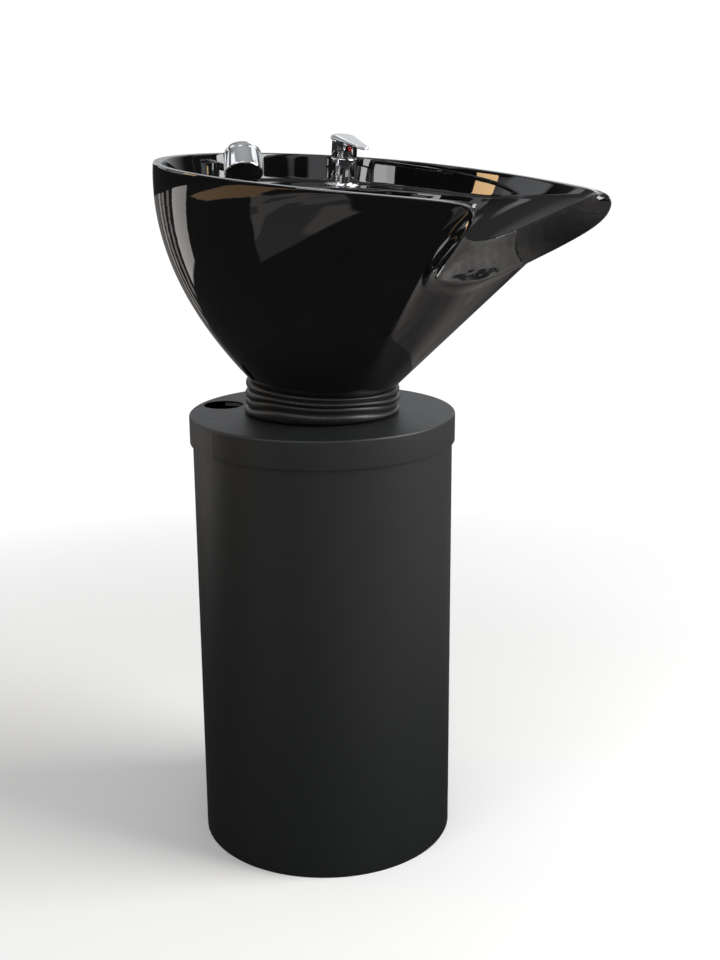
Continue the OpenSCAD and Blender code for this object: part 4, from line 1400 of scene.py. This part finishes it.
@dataclass(frozen=True)
class SoftBox:
    """One rectangular light."""

    name: str
    at: tuple[float, float, float]
    aim: tuple[float, float, float]
    size: tuple[float, float]
    watts: float
    colour: tuple[float, float, float] = (1, 1, 1)

    def hang(self) -> None:
        """Hangs the light at its place, facing its aim."""
        data = bpy.data.lights.new(self.name, "AREA")
        data.shape = "RECTANGLE"
        data.size, data.size_y = self.size
        data.energy = self.watts
        data.color = self.colour
        lamp = bpy.data.objects.new(self.name, data)
        lamp.location = self.at
        lamp.rotation_euler = (Vector(self.aim) - Vector(self.at)).to_track_quat("-Z", "Y").to_euler()
        bpy.context.scene.collection.objects.link(lamp)


@dataclass
class Studio:
    """A pale sweep, soft boxes and the camera.

    Gloss sees a dim room instead of the white sweep: a dark floor with a few painted lit patches and a
    ceiling that brightens overhead, so that black glaze stays black and still shows its form.
    """

    eye: tuple[float, float, float] = (1.21606, -1.44924, 1.04766)
    forward: tuple[float, float, float] = (-0.59946, 0.75662, -0.26109)
    up: tuple[float, float, float] = (-0.15684, 0.20883, 0.96529)
    lens: float = 50.6
    half_floor: float = 12
    white: float = 1.05
    door_x: float = -1.74
    tiles_x: float = 0.12
    tiles_y: tuple[float, float] = (-3.4, -0.90)
    shelf_x: tuple[float, float] = (-6.0, -1.5)
    shelf_y: float = -3.1

    LIGHTS = (
        SoftBox("key", (2.6, 1.3, 2.2), (0, 0, 0.5), (2.2, 2.2), 120, (1, 0.99, 0.97)),
        SoftBox("strip", (0.4, -1.6, 3.0), (0, 0, 0.5), (2.2, 0.3), 12),
        SoftBox("pane", (0.05, -1.75, 1.62), (0, 0.2, 0.95), (0.5, 0.4), 3),
        SoftBox("lamp", (-1.9, -1.15, 1.60), (0.1, 0.2, 0.94), (0.4, 0.3), 3.5, (1, 0.64, 0.32)))

    def camera(self) -> None:
        """Places the camera."""
        data = bpy.data.cameras.new("camera")
        data.lens = self.lens
        data.sensor_width = 36
        seen = bpy.data.objects.new("camera", data)
        forward, up = Vector(self.forward).normalized(), Vector(self.up).normalized()
        right = forward.cross(up).normalized()
        turn = Matrix((right, right.cross(forward), -forward)).transposed()
        seen.matrix_world = Matrix.Translation(self.eye) @ turn.to_4x4()
        bpy.context.scene.collection.objects.link(seen)
        bpy.context.scene.camera = seen

    def painted_reflections(self, paint: Paint, east: Wire, north: Wire) -> bpy.types.Node:
        """What gloss sees of the floor: painted reflections, dark planks with lit patches that glow in glossy rays
        only.

        Args:
            paint: the floor's builder.
            east: the place along x, in metres.
            north: the place along y.

        Returns:
            The shader. Each patch is a product of ramps, 1 inside its borders: a pane of glass
            and a curtain's folds, in lanes that fan out along (north - a * east) / east; tiles
            between two straight borders and a slanted one; a warm shelf; and sunlit planks
            behind and to the right.
        """
        ragged = paint.noise(2.4, 2) - 0.5
        planks = paint.noise(5, 5, (1, 9, 1), 0.6)
        lane = (north - east * 0.34 - 0.18) / east
        door = (self.door_x - east).step(0, 0.08) * (lane + 0.66).step(0, 0.05)
        glass = (0.024 - lane * lane + ragged * 0.01).step(0, 0.003) * door
        folds = ((lane * 42 + ragged * 3).sine()).step(-0.2, 0.9) * (-0.2 - lane).step(0, 0.03) * door
        far_y, near_y = self.tiles_y
        tiles = (near_y - north + ragged * 0.1).step(0, 0.03) * (north - far_y).step(0, 0.4)
        tiles = tiles * (self.tiles_x - east + ragged * 0.1).step(0, 0.02)
        tiles = tiles * (east - north * 0.573 - 0.16 + ragged * 0.12).step(0, 0.03)
        tiles = tiles * (0.45 + 0.55 * paint.noise(1.7, 1).step(0.44, 0.47))
        west_x, east_x = self.shelf_x
        shelf = (self.shelf_y - north + ragged).step(0, 0.1) * (east_x - east + ragged).step(0, 0.1)
        shelf = shelf * (east - west_x).step(0, 0.3)
        # painted pool of sunlight on the planks behind and to the right
        sunlit = (north - 0.35 + ragged * 0.3).step(0, 0.9) * 0.22 + (east - 0.55).step(0, 0.5) * 0.5
        # the floor glows with these painted patches of light in glossy rays only: painted reflections
        lit = glass * 1.7 + folds * 0.6 + tiles * 0.5 + shelf + (sunlit + 0.05) * (0.2 + planks)
        tint = paint.mixed(shelf, (1.0, 0.95, 0.90), (1.0, 0.62, 0.32))
        return paint.node("ShaderNodeEmission", None, {"Color": tint, "Strength": lit})

    def floor(self) -> None:
        """Lays the floor: pale and lit near the object, pure white farther off."""
        x = np.linspace(-self.half_floor, self.half_floor, 3)
        grid = np.stack(np.meshgrid(x, x, [0.0], indexing="ij"), -1)[:, :, 0]
        made = grid_object("studio_floor", grid, around_cols=False)
        paint = Paint("pale_floor")
        ray = paint.node("ShaderNodeLightPath")
        split = paint.node("ShaderNodeSeparateXYZ", None, {0: paint.place()})
        east, north = Wire(paint, split.outputs[0]), Wire(paint, split.outputs[1])
        far = (east * east + north * north).step(0.5, 3.4)
        near = paint.node("ShaderNodeBsdfDiffuse", None, {"Color": (0.93, 0.93, 0.93, 1)})
        white = paint.node("ShaderNodeEmission", None, {"Color": (1, 1, 1, 1), "Strength": self.white})
        pale = paint.node("ShaderNodeMixShader", None, {0: far, 1: near.outputs[0], 2: white.outputs[0]})
        mirror = self.painted_reflections(paint, east, north)
        seen = paint.node("ShaderNodeMixShader", None, {
            0: ray.outputs["Is Glossy Ray"], 1: pale.outputs[0], 2: mirror.outputs[0]})
        paint.feed(paint.tree.nodes["Material Output"], "Surface", seen.outputs[0])
        made.data.materials.append(paint.material)

    def sky(self) -> None:
        """Surrounds the set with white, dim as a light, and a dark room with bright panes in gloss."""
        sky = Sky("studio")
        ray = sky.node("ShaderNodeLightPath")
        split = sky.node("ShaderNodeSeparateXYZ", None, {0: sky.place()})
        east, north, up = (Wire(sky, output) for output in split.outputs)
        ahead = (north * 0.85 - east * 0.42 + up * 0.30).step(0.78, 1.0)
        panes = sky.noise(2.3, 1, (1, 1, 0.5)).step(0.555, 0.585)
        panes = panes * up.step(0.05, 0.1) * (0.85 - up).step(0, 0.1)
        room = up.step(0.35, 1.0) * 0.4 + ahead * 0.75 + panes * 0.9 + 0.025
        white, dim, gloss = (
            sky.node("ShaderNodeBackground", None, {"Color": (*colour, 1), "Strength": strength}).outputs[0]
            for colour, strength in (((1, 1, 1), self.white), ((0.96, 0.98, 1), 0.45), ((0.95, 0.97, 1), room)))
        first = sky.node("ShaderNodeMixShader", None, {0: ray.outputs["Is Glossy Ray"], 1: dim, 2: gloss})
        second = sky.node("ShaderNodeMixShader", None, {
            0: ray.outputs["Is Camera Ray"], 1: first.outputs[0], 2: white})
        sky.feed(sky.tree.nodes["World Output"], "Surface", second.outputs[0])

    def build(self) -> None:
        """Sets up the whole studio."""
        self.camera()
        self.floor()
        self.sky()
        bpy.context.scene.view_settings.view_transform = "Standard"
        for light in self.LIGHTS:
            light.hang()


def main() -> None:
    """Builds the object's looks, piece by piece, and then the studio."""
    logging.basicConfig(level=logging.INFO, format="%(message)s")
    wardrobe = Wardrobe()
    place = basin_frame()
    shape = BasinShape()
    ledge = shape.ledge * MM

    def on_ledge(name: str, turn: float = 0.0) -> Tilted:
        """Returns the frame on the ledge under a joint's axis, turned about it."""
        axis = np.array(joint(name)["pos_m"], float) - place.origin
        return place.shifted((axis @ place.x, axis @ place.y, ledge), turn)

    Pedestal().build(wardrobe)
    Sleeve(place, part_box("pedestal_lid")[1].z).build(wardrobe)
    Basin(shape, place).build(wardrobe)
    Mixer(on_ledge("mixer_swivel", MIXER_TURN)).build(wardrobe)
    head = on_ledge("shower_turn", HEAD_TURN).shifted(HEAD_AT).dipped(HEAD_DIP)
    HandShower(on_ledge("shower_turn"), head).build(wardrobe)
    Waste(place).build(wardrobe)
    Hoses(place).build(wardrobe)
    Studio().build()


if __name__ == "__main__":
    main()
